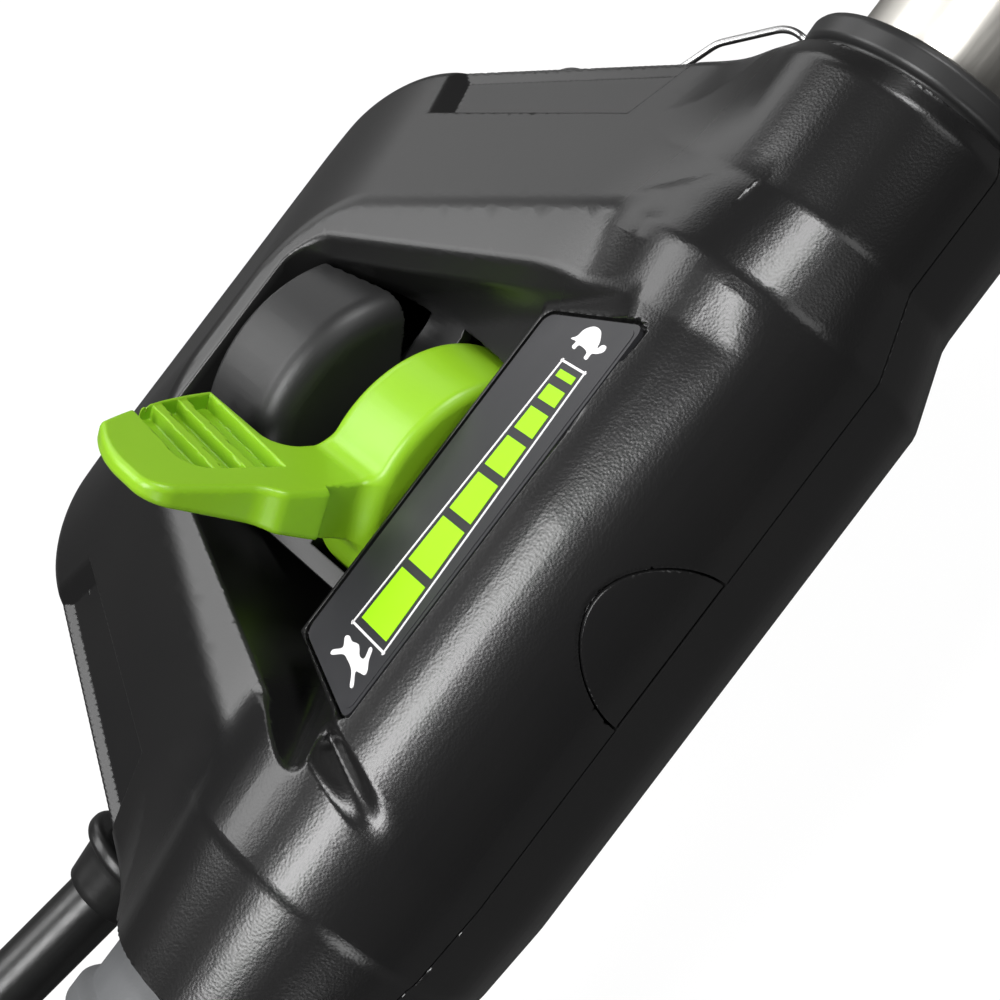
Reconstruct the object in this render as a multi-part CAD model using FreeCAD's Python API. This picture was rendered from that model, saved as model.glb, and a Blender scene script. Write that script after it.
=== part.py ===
import FreeCAD, Part
import math
import os

# String trimmer, battery powered. Lengths are in millimetres.
# Working frame: the shaft axis is the X axis, the cutting head is towards +X, the wing of the
# speed control is towards +Y and up is +Z. x = 0 is the hub of the speed lever.
# At the end everything is moved so that the origin is the middle of the footprint, on the ground.

V = FreeCAD.Vector
X, Y, Z = V(1, 0, 0), V(0, 1, 0), V(0, 0, 1)
O = V(0, 0, 0)

# ---- shaft ----
TUBE_R = 12.7
TUBE_WALL = 1.6
TUBE_START_X = 34.0
COUPLER_X = 560.0
COUPLER_LENGTH = 96.0
LOWER_TUBE_END_X = 1245.0

# ---- speed control housing ----
SEAM_Z = 6.3
WALL = 2.4
BARREL_R = 22.75
NECK_R = 19.0
NECK_END_X = 68.0
TAIL_X = -66.0
TAIL_R = 18.6
LAND_Z = 20.0
RIM_Z = 8.8
WING_BOTTOM_Z = -20.0
WELL_FLOOR_Z = 9.0
SIDE_SLOPE = 0.46
GAP = 0.6

NOTCH_DEPTH = 2.3
NOTCH_FLOOR_MIN_Z = 6.8
NOTCH_OUTLINE = ((38.0, 56.2), (50.4, 27.1), (66.0, 27.1), (50.3, 65.4))
SHELL_SCREWS = ((-38, 50), (38, 50), (0, 62))

# ---- speed lever ----
HUB_Z = 3.0
LEVER_DRUM_R = 17.0
LEVER_Y = (16.5, 28.5)
LEVER_TILT = -30.0
AXLE_R = 3.0
COVER_R = 19.5
COVER_Y = (35.5, 49.5)

# ---- rear handle ----
HANDLE_R = 16.0
HANDLE_BORE_R = 13.4
HANDLE_END_X = -186.0
GRIP_R = 17.2
GRIP_RIB = 1.3
GRIP_PITCH = 6.0
GRIP_X = (-176.0, -66.6)
TRIGGER_X = (-140.0, -90.0)
TRIGGER_PIVOT = (-94.0, -9.0)
TRIGGER_WIDTH = 11.0
LOCK_OFF_TRAVEL = 2.5

# ---- cutting head ----
HEAD_ANGLE = 35.0
HEAD_X = 1290.0
HEAD_MID_Z = 34.0
MOTOR_R = 40.0
GUARD_R = 135.0
GUARD_CHORD = 128.0
SKIRT_DEPTH = 22.0
SPOOL_R = 47.0

# ---- dock and battery ----
DOCK_FRONT_X = -184.0
DOCK_BACK_X = -232.0
PACK_BACK_X = -306.0
DOCK_HALF_WIDTH = 43.0
DOCK_TOP_Z = 27.0
SHELF_DEPTH = 8.0


def block(x0, x1, y0, y1, z0, z1):
    return Part.makeBox(x1 - x0, y1 - y0, z1 - z0, V(x0, y0, z0))


def soft_block(x0, x1, y0, y1, z0, z1, radius):
    box = block(x0, x1, y0, y1, z0, z1)
    return box.makeFillet(radius, box.Edges)


def rod(start, direction, length, radius):
    return Part.makeCylinder(radius, length, start, direction)


def pipe(start, direction, length, outer, inner):
    return rod(start, direction, length, outer).cut(rod(start, direction, length, inner))


def turned(profile, axis=X):
    """Solid of revolution; profile holds (distance along the axis, radius) points."""
    if axis is X:
        points = [V(a, 0, r) for a, r in profile]
    else:
        points = [V(r, 0, a) for a, r in profile]
    face = Part.Face(Part.makePolygon(points + points[:1]))
    return face.revolve(O, axis, 360)


def extruded(points, direction):
    face = Part.Face(Part.makePolygon(points + points[:1]))
    return face.extrude(direction)


def plate_xz(outline, y0, y1):
    """Extrusion along Y of an outline given as (x, z) points."""
    return extruded([V(x, y0, z) for x, z in outline], V(0, y1 - y0, 0))


def frustum(low, low_z, high, high_z):
    """Solid with flat sides between two outlines whose edges are parallel, pair by pair."""
    bottom = [V(x, y, low_z) for x, y in low]
    top = [V(x, y, high_z) for x, y in high]
    loops = [bottom, top]
    for i in range(len(bottom)):
        j = (i + 1) % len(bottom)
        loops.append([bottom[i], bottom[j], top[j], top[i]])
    faces = [Part.Face(Part.makePolygon(loop + loop[:1])) for loop in loops]
    return Part.makeSolid(Part.makeShell(faces))


def coil(start, direction, length, radius, wire_r, turns):
    helix = Part.makeHelix(length / turns, length, radius)
    section = Part.Wire(Part.makeCircle(wire_r, V(radius, 0, 0), Y))
    spring = Part.Wire(helix).makePipeShell([section], True, True)
    spring.Placement = FreeCAD.Placement(start, FreeCAD.Rotation(Z, direction))
    return spring


def routed(points, bend, radius):
    """Round bar along straight runs joined by tangent arcs of one bend radius."""
    edges = []
    here = points[0]
    for i in range(1, len(points) - 1):
        corner = points[i]
        back = (points[i - 1] - corner).normalize()
        on = (points[i + 1] - corner).normalize()
        half = (math.pi - back.getAngle(on)) / 2
        reach = bend * math.tan(half)
        first = corner + back * reach
        last = corner + on * reach
        inward = (back + on).normalize()
        middle = corner + inward * (bend / math.cos(half) - bend)
        edges.append(Part.LineSegment(here, first).toShape())
        edges.append(Part.Arc(first, middle, last).toShape())
        here = last
    edges.append(Part.LineSegment(here, points[-1]).toShape())
    path = Part.Wire(edges)
    direction = (points[1] - points[0]).normalize()
    section = Part.Wire(Part.makeCircle(radius, points[0], direction))
    return path.makePipeShell([section], True, False)


def group(shapes):
    return Part.makeCompound(shapes)


# ---------------------------------------------------------------- speed control housing


def trapezoid(y_near, half_far, y_far, corner):
    """Symmetrical outline of the wing's common side slope, with its two far corners cut off."""
    half_near = half_far + SIDE_SLOPE * (y_far - y_near)
    dy = corner / math.hypot(1, SIDE_SLOPE)
    dx = SIDE_SLOPE * dy
    right = [(half_near, y_near), (half_far + dx, y_far - dy), (half_far - corner, y_far)]
    return right + [(-x, y) for x, y in reversed(right)]


def wing_form(inset):
    seam = trapezoid(12, 41 - inset, 73.5 - inset, 5)
    rim = trapezoid(12, 40.8 - inset, 71.6 - inset, 5)
    land = trapezoid(8, 18.6 - inset / 2, 56.3 - inset, 5)
    base = trapezoid(12, 32 - inset, 62 - inset, 5)
    upper = frustum(rim, RIM_Z - inset / 2, land, LAND_Z - inset)
    edge = frustum(seam, SEAM_Z, rim, RIM_Z - inset / 2)
    lower = frustum(base, WING_BOTTOM_Z + inset, seam, SEAM_Z)
    return upper.fuse(edge).fuse(lower)


def barrel_form():
    return turned([
        (HANDLE_END_X, 0), (HANDLE_END_X, HANDLE_R), (TAIL_X - 0.6, HANDLE_R), (TAIL_X, TAIL_R),
        (-36, BARREL_R), (38, BARREL_R), (49, NECK_R), (NECK_END_X - 2.8, NECK_R),
        (NECK_END_X, NECK_R - 1.5), (NECK_END_X, 0),
    ])


def barrel_hollow():
    return turned([
        (HANDLE_END_X, 0), (HANDLE_END_X, HANDLE_BORE_R), (-70, HANDLE_BORE_R),
        (-64, TAIL_R - WALL), (-36, BARREL_R - WALL), (38, BARREL_R - WALL), (46, NECK_R - WALL),
        (50, NECK_R - WALL), (50, TUBE_R), (NECK_END_X, TUBE_R), (NECK_END_X, 0),
    ])


def well_form(grow):
    """The tapered recess in the top of the wing that the lever and its cover stand in."""
    high = trapezoid(15.3 - grow, 13.8 + grow, 53 + grow, 3)
    low = trapezoid(15.6 - grow, 9.8 + grow, 51.6 + grow, 3)
    return frustum(low, WELL_FLOOR_Z - grow, high, LAND_Z + 0.01)


LABEL_EDGE = ((-2.6, 22.1), (14.5, 16.9))
LABEL_THICK = 0.8
LABEL_CORNERS = ((-28.4, 0), (27.5, 0), (23.4, 1), (-24.7, 1))


def label_form(grow, up, down):
    """Flat four-cornered plate in the sloping plane of the label, from down below to up above it."""
    (y0, z0), (y1, z1) = LABEL_EDGE
    across = V(0, y1 - y0, z1 - z0)
    normal = X.cross(across).normalize()
    side = V(across).normalize()
    points = []
    for x, far in LABEL_CORNERS:
        point = V(x + math.copysign(grow, x), y0, z0) + across * far + side * (grow if far else -grow)
        points.append(point - normal * down)
    return extruded(points, normal * (up + down))


def slanted_z(x, y):
    """Height of the +X slanted face of the wing above a point."""
    rim = V(40.8, 71.6, RIM_Z)
    along = V(SIDE_SLOPE, -1, 0)
    down = rim - V(18.6, 56.3, LAND_Z)
    normal = along.cross(down)
    return RIM_Z - (normal.x * (x - rim.x) + normal.y * (y - rim.y)) / normal.z


def notches():
    """Shallow pockets along the edges of the two slanted faces, with floors parallel to the faces."""
    floor = [V(x, y, slanted_z(x, y) - NOTCH_DEPTH) for x, y in NOTCH_OUTLINE]
    pocket = extruded(floor, V(0, 0, 12)).common(block(0, 90, 0, 90, NOTCH_FLOOR_MIN_Z, 30))
    return group([pocket, pocket.mirror(O, X)])


def screw_bosses():
    bosses = [rod(V(x, y, WING_BOTTOM_Z), Z, 34, 4.2) for x, y in SHELL_SCREWS]
    return group(bosses).common(wing_form(0))


def housing_solid():
    body = barrel_form().fuse(wing_form(0))
    body = body.cut(notches()).cut(block(NECK_END_X, 90, -40, 40, -30, 30))
    hollow = barrel_hollow().fuse(wing_form(WALL).cut(well_form(WALL)))
    hollow = hollow.cut(label_form(1.5, 0.0, LABEL_THICK + 2.0))
    body = body.cut(hollow).fuse(screw_bosses())
    body = body.cut(well_form(0)).cut(screw_blanks()).cut(trigger_pin())
    lever_slot = block(-LEVER_DRUM_R - GAP, LEVER_DRUM_R + GAP, LEVER_Y[0] - GAP, LEVER_Y[1] + GAP, 0, 12)
    body = body.cut(lever_slot)
    body = body.cut(label_form(0.9, 6.0, 0.0))
    body = body.cut(label_form(0.0, 0.1, LABEL_THICK + 0.02))
    trigger_slot = block(TRIGGER_X[0] - 2, TRIGGER_X[1] + 2, -TRIGGER_WIDTH / 2 - GAP,
                         TRIGGER_WIDTH / 2 + GAP, -20, -8)
    body = body.cut(trigger_slot)
    body = body.cut(block(-127 - GAP, -111 + GAP, -5 - GAP, 5 + GAP, 8, 20))
    body = body.cut(gland_bore())
    return body.cut(plug_form(PLUG_R, 12))


PLUG_R = 10.4


def plug_form(radius, depth):
    """Half disc with its straight side on the seam, through the -Y wall of the barrel."""
    disc = rod(V(-0.5, -BARREL_R - 2, SEAM_Z), Y, depth + 2, radius)
    return disc.common(block(-20, 20, -30, 0, SEAM_Z, 30))


def half_round_plug():
    skin = plug_form(PLUG_R - 0.25, 12).common(barrel_form())
    core = rod(V(-30, 0, 0), X, 60, BARREL_R - WALL)
    clip = block(-4.5, 3.5, -17.0, -14.0, SEAM_Z + 1, SEAM_Z + 7)
    return skin.cut(core).fuse(clip.fuse(block(-2.5, 1.5, -20.5, -16.5, SEAM_Z + 2, SEAM_Z + 6)))


def split_housing():
    body = housing_solid()
    reach = block(-400, 400, -200, 200, SEAM_Z, 200)
    upper = body.common(reach)
    lower = body.cut(reach)
    return upper, lower


def screw_blanks():
    blanks = []
    for x, y in SHELL_SCREWS:
        head = rod(V(x, y, WING_BOTTOM_Z), Z, 2.1, 3.0)
        blanks.append(head.fuse(rod(V(x, y, WING_BOTTOM_Z + 2.1), Z, 29, 1.5)))
    return group(blanks)


def shell_screws():
    sockets = [rod(V(x, y, WING_BOTTOM_Z), Z, 1.2, 1.4) for x, y in SHELL_SCREWS]
    return screw_blanks().cut(group(sockets))


def shaft_collar():
    return turned([
        (NECK_END_X, TUBE_R), (NECK_END_X, 16.4), (NECK_END_X + 0.8, 16.4), (NECK_END_X + 1.2, 17.3),
        (NECK_END_X + 3.6, 17.3), (NECK_END_X + 4.8, 16.2), (NECK_END_X + 4.8, TUBE_R),
    ])


# ---------------------------------------------------------------- speed lever


# Outlines of the arm with its paddle, and of the ribbed pocket in it: distance from the hub, y.
PADDLE = ((12, 17.8), (24, 17.9), (41.3, 20.5), (44.0, 21.3), (45.9, 23.3), (46.8, 31.8), (46.0, 34.6),
          (43.0, 38.6), (36.9, 41.9), (23.1, 44.1), (23.7, 31.4), (21.9, 28.5), (12, 28.5))
THUMB_POCKET = ((26.8, 23.8), (36.4, 24.6), (38.6, 27.6), (37.1, 40.2), (24.2, 42.3))


def about_hub(shape, degrees):
    shape.rotate(V(0, 0, HUB_Z), Y, degrees)
    return shape


def speed_lever():
    y0, y1 = LEVER_Y
    drum = rod(V(0, y0, HUB_Z), Y, y1 - y0, LEVER_DRUM_R)
    rims = [edge for edge in drum.Edges if edge.Length > 100]
    drum = drum.makeChamfer(1.4, rims)
    side = plate_xz([(3.3, HUB_Z + 12), (3.3, HUB_Z + 47), (1.1, HUB_Z + 47), (-6.0, HUB_Z + 12)], y0, 46)
    outline = extruded([V(-10, y, HUB_Z + out) for out, y in PADDLE], V(20, 0, 0))
    pocket = extruded([V(1.2, y, HUB_Z + out) for out, y in THUMB_POCKET], V(3, 0, 0))
    for low in (29.0, 33.2):
        pocket = pocket.cut(block(1, 2.9, 20, 45, HUB_Z + low, HUB_Z + low + 1.4))
    handle = side.common(outline).cut(pocket)
    lever = drum.fuse(handle)
    lever = lever.cut(rod(V(0, y0 - 1, HUB_Z), Y, y1 - y0 + 2, AXLE_R + 0.05))
    return about_hub(lever, LEVER_TILT)


def sensor_cover():
    y0, y1 = COVER_Y
    outer = rod(V(0, y0, HUB_Z), Y, y1 - y0, COVER_R)
    rims = [edge for edge in outer.Edges if edge.Length > 100]
    outer = outer.makeFillet(1.6, rims)
    inner = rod(V(0, y0 + 2, HUB_Z), Y, y1 - y0 - 4, COVER_R - 2)
    cover = outer.cut(inner).common(block(-40, 40, 0, 80, WELL_FLOOR_Z, 40))
    return cover.common(well_form(-0.3).fuse(block(-40, 40, 0, 80, LAND_Z, 40)))


def lever_bracket():
    cheeks = []
    for y in (30.4, 52.6):
        cheek = block(-11, 11, y, y + 2.4, WING_BOTTOM_Z + WALL, WELL_FLOOR_Z - WALL - 0.2)
        cheeks.append(cheek.cut(rod(V(0, y - 1, HUB_Z), Y, 5, AXLE_R)))
    near = block(-7, 7, 13.6, 15.4, WING_BOTTOM_Z + WALL + 1.8, WELL_FLOOR_Z - WALL - 0.2)
    near = near.cut(rod(V(0, 13, HUB_Z), Y, 4, AXLE_R))
    base = block(-11, 11, 13.6, 55, WING_BOTTOM_Z + WALL, WING_BOTTOM_Z + WALL + 1.8)
    return base.fuse([near] + cheeks)


def lever_axle():
    return rod(V(0, 13.8, HUB_Z), Y, 41, AXLE_R)


def speed_sensor():
    body = block(-9, 9, 36.5, 47.5, -9, 3)
    return body.cut(rod(V(0, 36, HUB_Z), Y, 12, AXLE_R + 0.5))


def control_board():
    board = block(-30, 26, -16, 8, -12, -10.4)
    chips = [block(-22, -14, -10, 0, -10.4, -8.4), block(-4, 8, -8, 4, -10.4, -7.8)]
    return board.fuse(chips)


# ---------------------------------------------------------------- cable and wire on the wing

GLAND_BASE = V(-66.0, 33.0, -6.0)
GLAND_DIR = V(-0.985, 0.17, 0)
CABLE_R = 4.5
CABLE_END = V(DOCK_FRONT_X, 31.0, -24.0)


def gland_bore():
    return rod(GLAND_BASE - GLAND_DIR * 22, GLAND_DIR, 30, 5.4)


def cable_gland():
    start = GLAND_BASE - GLAND_DIR * 14
    body = rod(start, GLAND_DIR, 16, 5.4)
    flange = rod(GLAND_BASE - GLAND_DIR * 1.0, GLAND_DIR, 2.6, 8.2)
    flange = flange.makeFillet(1.1, [e for e in flange.Edges if e.Length > 40])
    nose = Part.makeCone(6.6, 5.4, 6, GLAND_BASE + GLAND_DIR * 1.6, GLAND_DIR)
    outside = body.fuse([flange, nose]).cut(wing_form(0))
    return outside.fuse(body).cut(rod(start - GLAND_DIR, GLAND_DIR, 40, CABLE_R))


def control_cable():
    start = GLAND_BASE - GLAND_DIR * 14
    route = [start, GLAND_BASE + GLAND_DIR * 44, V(-152, 42, -16), CABLE_END + V(20, 0, 0), CABLE_END]
    return routed(route, 28, CABLE_R)


def retainer_wire():
    """Thin steel wire that arches from the edge of the wing to the ring on the neck."""
    route = [V(57.5, 33.2, 5.0), V(65.8, 28.6, 5.6), V(71.8, 20.8, 5.4), V(70.6, 14.5, 5.0)]
    return routed(route, 4.5, 0.5).cut(wing_form(0)).cut(shaft_collar())


def wing_screw():
    """Domed screw head on the +X side of the wing, just under the seam."""
    return Part.makeSphere(4.3, V(51.4, 46.8, 1.8)).cut(wing_form(0))


# ---------------------------------------------------------------- rear handle


def grip_sleeve():
    profile = [(GRIP_X[0], HANDLE_R), (GRIP_X[0], GRIP_R)]
    x = GRIP_X[0] + 1.5
    while x + GRIP_PITCH < GRIP_X[1]:
        profile.append((x, GRIP_R))
        profile.append((x + 0.25 * GRIP_PITCH, GRIP_R + GRIP_RIB))
        profile.append((x + 0.65 * GRIP_PITCH, GRIP_R + GRIP_RIB))
        profile.append((x + 0.9 * GRIP_PITCH, GRIP_R))
        x += GRIP_PITCH
    profile += [(GRIP_X[1], GRIP_R), (GRIP_X[1], HANDLE_R)]
    sleeve = turned(profile)
    sleeve = sleeve.cut(wing_form(0)).cut(block(TRIGGER_X[0] - 4, TRIGGER_X[1] + 4, -8, 8, -30, 0))
    return sleeve.cut(block(-131, -107, -7.5, 7.5, 0, 30))


def trigger():
    outline = [(-90, -5), (-90, -15), (-97, -22.5), (-108, -26), (-122, -28.5), (-134, -30),
               (-139, -28), (-140, -22), (-136, -9), (-124, -7), (-104, -5)]
    half = TRIGGER_WIDTH / 2
    body = plate_xz(outline, -half, half)
    px, pz = TRIGGER_PIVOT
    return body.cut(rod(V(px, -half - 1, pz), Y, TRIGGER_WIDTH + 2, 2.04))


def trigger_pin():
    px, pz = TRIGGER_PIVOT
    reach = math.sqrt(HANDLE_R ** 2 - (pz - 2) ** 2) - 0.2
    return rod(V(px, -reach, pz), Y, 2 * reach, 2.0)


def trigger_switch():
    body = block(-134, -106, -7, 7, 1, 9)
    return body.fuse(block(-126, -120, -3, 3, -1.5, 1))


def trigger_spring():
    return coil(V(-112, 0, -4.2), Z, 4.4, 3.0, 0.45, 3)


def lock_off_button():
    stem = block(-127, -111, -5, 5, 12.5, 20)
    cap = soft_block(-130, -108, -6.6, 6.6, HANDLE_R + LOCK_OFF_TRAVEL + 0.3, 23.6, 1.8)
    return stem.fuse(cap)


def lock_off_spring():
    return coil(V(-119, 0, 9.6), Z, 2.3, 3.0, 0.35, 2)


# ---------------------------------------------------------------- dock and battery


def dock_shell():
    outer = soft_block(DOCK_BACK_X, DOCK_FRONT_X, -DOCK_HALF_WIDTH, DOCK_HALF_WIDTH,
                       FOOT_Z + 2, DOCK_TOP_Z, 6)
    shelf = soft_block(PACK_BACK_X - 4, DOCK_FRONT_X - 8, -DOCK_HALF_WIDTH, DOCK_HALF_WIDTH,
                       FOOT_Z + 2, FOOT_Z + 2 + SHELF_DEPTH, 3)
    socket = turned([(DOCK_FRONT_X - 4, 0), (DOCK_FRONT_X - 4, 25), (DOCK_FRONT_X + 2, 24),
                     (DOCK_FRONT_X + 8, 19.5), (DOCK_FRONT_X + 8, 0)])
    inner = block(DOCK_BACK_X + 3, DOCK_FRONT_X - 3, -DOCK_HALF_WIDTH + 3, DOCK_HALF_WIDTH - 3,
                  FOOT_Z + 2 + SHELF_DEPTH, DOCK_TOP_Z - 3)
    body = outer.fuse([shelf, socket]).cut(inner)
    body = body.cut(rod(V(HANDLE_END_X, 0, 0), X, 30, HANDLE_R))
    body = body.cut(rod(V(HANDLE_END_X - 4, 0, 0), X, 5, HANDLE_BORE_R))
    body = body.cut(block(DOCK_BACK_X - 1, DOCK_BACK_X + 4, -16, 16, -70, -40))
    body = body.cut(rod(CABLE_END - X * 4, X, 30, CABLE_R))
    body = body.cut(block(DOCK_BACK_X - 1, DOCK_BACK_X + 19, -9, 9, DOCK_TOP_Z - 9.4, DOCK_TOP_Z + 1))
    return body.fuse(dock_rails())


def dock_rails():
    """Side cheeks that keep the battery pack on its way up and down."""
    top = DOCK_TOP_Z - 8
    rails = [block(DOCK_BACK_X - 16, DOCK_BACK_X + 8, y, y + 2.4, FOOT_Z + 4, top)
             for y in (-DOCK_HALF_WIDTH, DOCK_HALF_WIDTH - 2.4)]
    return group(rails)


def terminal_block():
    return block(DOCK_BACK_X + 0.2, DOCK_BACK_X + 14, -16, 16, -70, -40)


def power_controller():
    board = block(DOCK_FRONT_X - 30, DOCK_FRONT_X - 28, -34, 34, -96, -20)
    parts = []
    for y in (-30, -14, 2, 18):
        parts.append(block(DOCK_FRONT_X - 28, DOCK_FRONT_X - 12, y, y + 12, -90, -50))
    return board.fuse(parts)


def dock_feet():
    feet = []
    for x in (DOCK_FRONT_X - 16, PACK_BACK_X + 14):
        for y in (-30, 30):
            feet.append(rod(V(x, y, FOOT_Z), Z, 2, 9))
    return group(feet)


def pack_base_z():
    return FOOT_Z + 2 + SHELF_DEPTH + 0.4


def battery_case():
    z0 = pack_base_z()
    outer = soft_block(PACK_BACK_X, DOCK_BACK_X - 0.4, -40, 40, z0, DOCK_TOP_Z - 4, 5)
    inner = block(PACK_BACK_X + 2.6, DOCK_BACK_X - 3, -37.4, 37.4, z0 + 3, DOCK_TOP_Z - 14)
    lid_space = block(PACK_BACK_X - 1, DOCK_BACK_X + 1, -41, 41, DOCK_TOP_Z - 14, DOCK_TOP_Z)
    return outer.cut(inner).cut(lid_space)


def battery_lid():
    z0 = pack_base_z()
    outer = soft_block(PACK_BACK_X, DOCK_BACK_X - 0.4, -40, 40, z0, DOCK_TOP_Z - 4, 5)
    lid = outer.common(block(PACK_BACK_X - 1, DOCK_BACK_X + 1, -41, 41, DOCK_TOP_Z - 14, DOCK_TOP_Z))
    finger = rod(V((PACK_BACK_X + DOCK_BACK_X) / 2, -50, DOCK_TOP_Z - 2), Y, 100, 6)
    return lid.cut(finger)


def battery_cells():
    cells = []
    z0 = pack_base_z() + 4
    for i in range(3):
        for j in range(3):
            x = PACK_BACK_X + 14.5 + 22.5 * i
            y = -24 + 24 * j
            cells.append(rod(V(x, y, z0), Z, 70, 10.6))
    return group(cells)


def battery_latch():
    x = DOCK_BACK_X
    body = block(x + 0.4, x + 12, -8, 8, DOCK_TOP_Z - 9, DOCK_TOP_Z - 3)
    thumb = soft_block(x + 1, x + 12, -8, 8, DOCK_TOP_Z - 6, DOCK_TOP_Z + 4, 1.5)
    return body.fuse(thumb)


def latch_spring():
    return coil(V(DOCK_BACK_X + 12.4, 0, DOCK_TOP_Z - 6.5), X, 6.2, 1.8, 0.35, 3)


# ---------------------------------------------------------------- shaft


def upper_tube():
    return pipe(V(TUBE_START_X, 0, 0), X, COUPLER_X + 38 - TUBE_START_X, TUBE_R, TUBE_R - TUBE_WALL)


def lower_tube():
    start = COUPLER_X + 42
    return pipe(V(start, 0, 0), X, LOWER_TUBE_END_X - start, TUBE_R, TUBE_R - TUBE_WALL)


def motor_lead():
    return rod(V(TUBE_START_X - 8, 0, 0), X, LOWER_TUBE_END_X - TUBE_START_X, 3.0)


def shaft_coupler():
    x0, x1 = COUPLER_X, COUPLER_X + COUPLER_LENGTH
    body = turned([(x0, TUBE_R), (x0, 17), (x0 + 6, 19), (x1 - 6, 19), (x1, 17), (x1, TUBE_R)])
    boss = rod(V(x1 - 30, 15, 0), Y, 11, 10)
    ears = block(x0 + 14, x1 - 14, -4, 4, -26, -16)
    body = body.fuse([boss, ears]).cut(rod(V(x0 - 1, 0, 0), X, COUPLER_LENGTH + 2, TUBE_R))
    return body.cut(rod(V(x1 - 30, 10, 0), Y, 20, 4.06))


def coupler_knob():
    x = COUPLER_X + COUPLER_LENGTH - 30
    knob = rod(V(x, 27, 0), Y, 13, 15)
    for i in range(6):
        turn = math.radians(60 * i)
        knob = knob.cut(rod(V(x + 19 * math.cos(turn), 26, 19 * math.sin(turn)), Y, 15, 6.5))
    return knob.fuse(rod(V(x, TUBE_R + 0.3, 0), Y, 15, 4.0))


def hanger_ring():
    x = 118.0
    band = pipe(V(x - 9, 0, 0), X, 18, 16, TUBE_R)
    ear = block(x - 4, x + 4, -6, 6, 14, 22).fuse(rod(V(x, -6, 26), Y, 12, 12))
    return band.fuse(ear.cut(rod(V(x, -7, 27), Y, 14, 8))).cut(rod(V(x - 10, 0, 0), X, 20, TUBE_R))


HANDLE_X = 250.0
HANDLE_PIVOT_Z = 31.5


def handle_clamp():
    body = block(HANDLE_X - 22, HANDLE_X + 22, -17, 17, 0.5, 19)
    lug = block(HANDLE_X - 11, HANDLE_X + 11, -8, 8, 19, HANDLE_PIVOT_Z)
    lug = lug.fuse(rod(V(HANDLE_X, -8, HANDLE_PIVOT_Z), Y, 16, 11))
    body = body.fuse(lug)
    pivot_hole = rod(V(HANDLE_X, -20, HANDLE_PIVOT_Z), Y, 40, 3.1)
    return body.cut(rod(V(HANDLE_X - 30, 0, 0), X, 60, TUBE_R)).cut(pivot_hole)


def handle_clamp_cap():
    body = block(HANDLE_X - 22, HANDLE_X + 22, -17, 17, -18, -0.5)
    return body.cut(rod(V(HANDLE_X - 30, 0, 0), X, 60, TUBE_R))


def clamp_screws():
    screws = []
    for x in (HANDLE_X - 15, HANDLE_X + 15):
        for y in (-14.8, 14.8):
            screws.append(rod(V(x, y, -20.2), Z, 2.2, 2.0))
    return group(screws)


LOOP_TOP_Z = HANDLE_PIVOT_Z + 128
LOOP_LEAN = 20.0
LOOP_BEND = 32.0


def loop_handle():
    """One bar bent into a D, with an eye on each end that clasps the clamp's lug."""
    rise = LOOP_TOP_Z - HANDLE_PIVOT_Z
    half = [V(HANDLE_X, 14.4, HANDLE_PIVOT_Z + 5), V(HANDLE_X + 2, 15.4, HANDLE_PIVOT_Z + 0.27 * rise),
            V(HANDLE_X + 8, 97, HANDLE_PIVOT_Z + 0.4 * rise), V(HANDLE_X + LOOP_LEAN, 84, LOOP_TOP_Z)]
    route = half + [V(p.x, -p.y, p.z) for p in reversed(half)]
    bar = routed(route, LOOP_BEND, 8)
    for y in (8.4, -20.4):
        bar = bar.fuse(rod(V(HANDLE_X, y, HANDLE_PIVOT_Z), Y, 12, 11))
    lug_space = block(HANDLE_X - 30, HANDLE_X + 30, -8.4, 8.4, 0, HANDLE_PIVOT_Z + 16)
    return bar.cut(rod(V(HANDLE_X, -21, HANDLE_PIVOT_Z), Y, 42, 3.06)).cut(loop_grip()).cut(lug_space)


def loop_grip():
    return pipe(V(HANDLE_X + LOOP_LEAN, -42, LOOP_TOP_Z), Y, 84, 13, 8)


def handle_knob():
    """Lobed knob with its bolt, which clamps the loop handle."""
    z = HANDLE_PIVOT_Z
    knob = rod(V(HANDLE_X, -38, z), Y, 14, 14)
    for i in range(5):
        turn = math.radians(72 * i)
        knob = knob.cut(rod(V(HANDLE_X + 18 * math.cos(turn), -39, z + 18 * math.sin(turn)), Y, 20, 6.4))
    return knob.fuse(rod(V(HANDLE_X, -25, z), Y, 45.4, 3.0))


# ---------------------------------------------------------------- cutting head


def in_head(shape):
    """Puts a shape drawn about the head axis (Z, motor up) at the end of the shaft."""
    turn = math.radians(HEAD_ANGLE)
    base = V(HEAD_X + HEAD_MID_Z * math.sin(turn), 0, -HEAD_MID_Z * math.cos(turn))
    place = FreeCAD.Placement(base, FreeCAD.Rotation(Y, -HEAD_ANGLE))
    moved = shape.copy()
    moved.Placement = place.multiply(moved.Placement)
    return moved


def head_socket(radius, length, back):
    """Cylinder on the shaft axis, in the working frame."""
    return rod(V(LOWER_TUBE_END_X - back, 0, 0), X, length, radius)


def motor_housing():
    shell = turned([(-2, 15), (-2, MOTOR_R), (3, MOTOR_R + 2), (56, MOTOR_R), (56, MOTOR_R - 3),
                    (4, MOTOR_R - 3), (2, 15)], Z)
    seat = pipe(V(0, 0, -2), Z, 10, 15.5, 11)
    neck = head_socket(18, 42, 40).cut(in_head(rod(V(0, 0, -2), Z, 80, MOTOR_R - 1)))
    body = in_head(shell.fuse(seat)).fuse(neck).cut(motor_cover())
    return body.cut(head_socket(TUBE_R, 40, 40)).cut(head_socket(9, 60, 40))


def motor_cover():
    dome = turned([(56, MOTOR_R - 4), (56, MOTOR_R), (62, MOTOR_R - 2), (70, MOTOR_R - 12), (73, 12),
                   (73, 0), (70, 0), (70, 10), (66, MOTOR_R - 14), (60, MOTOR_R - 6)], Z)
    return in_head(dome).cut(lower_tube())


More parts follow.
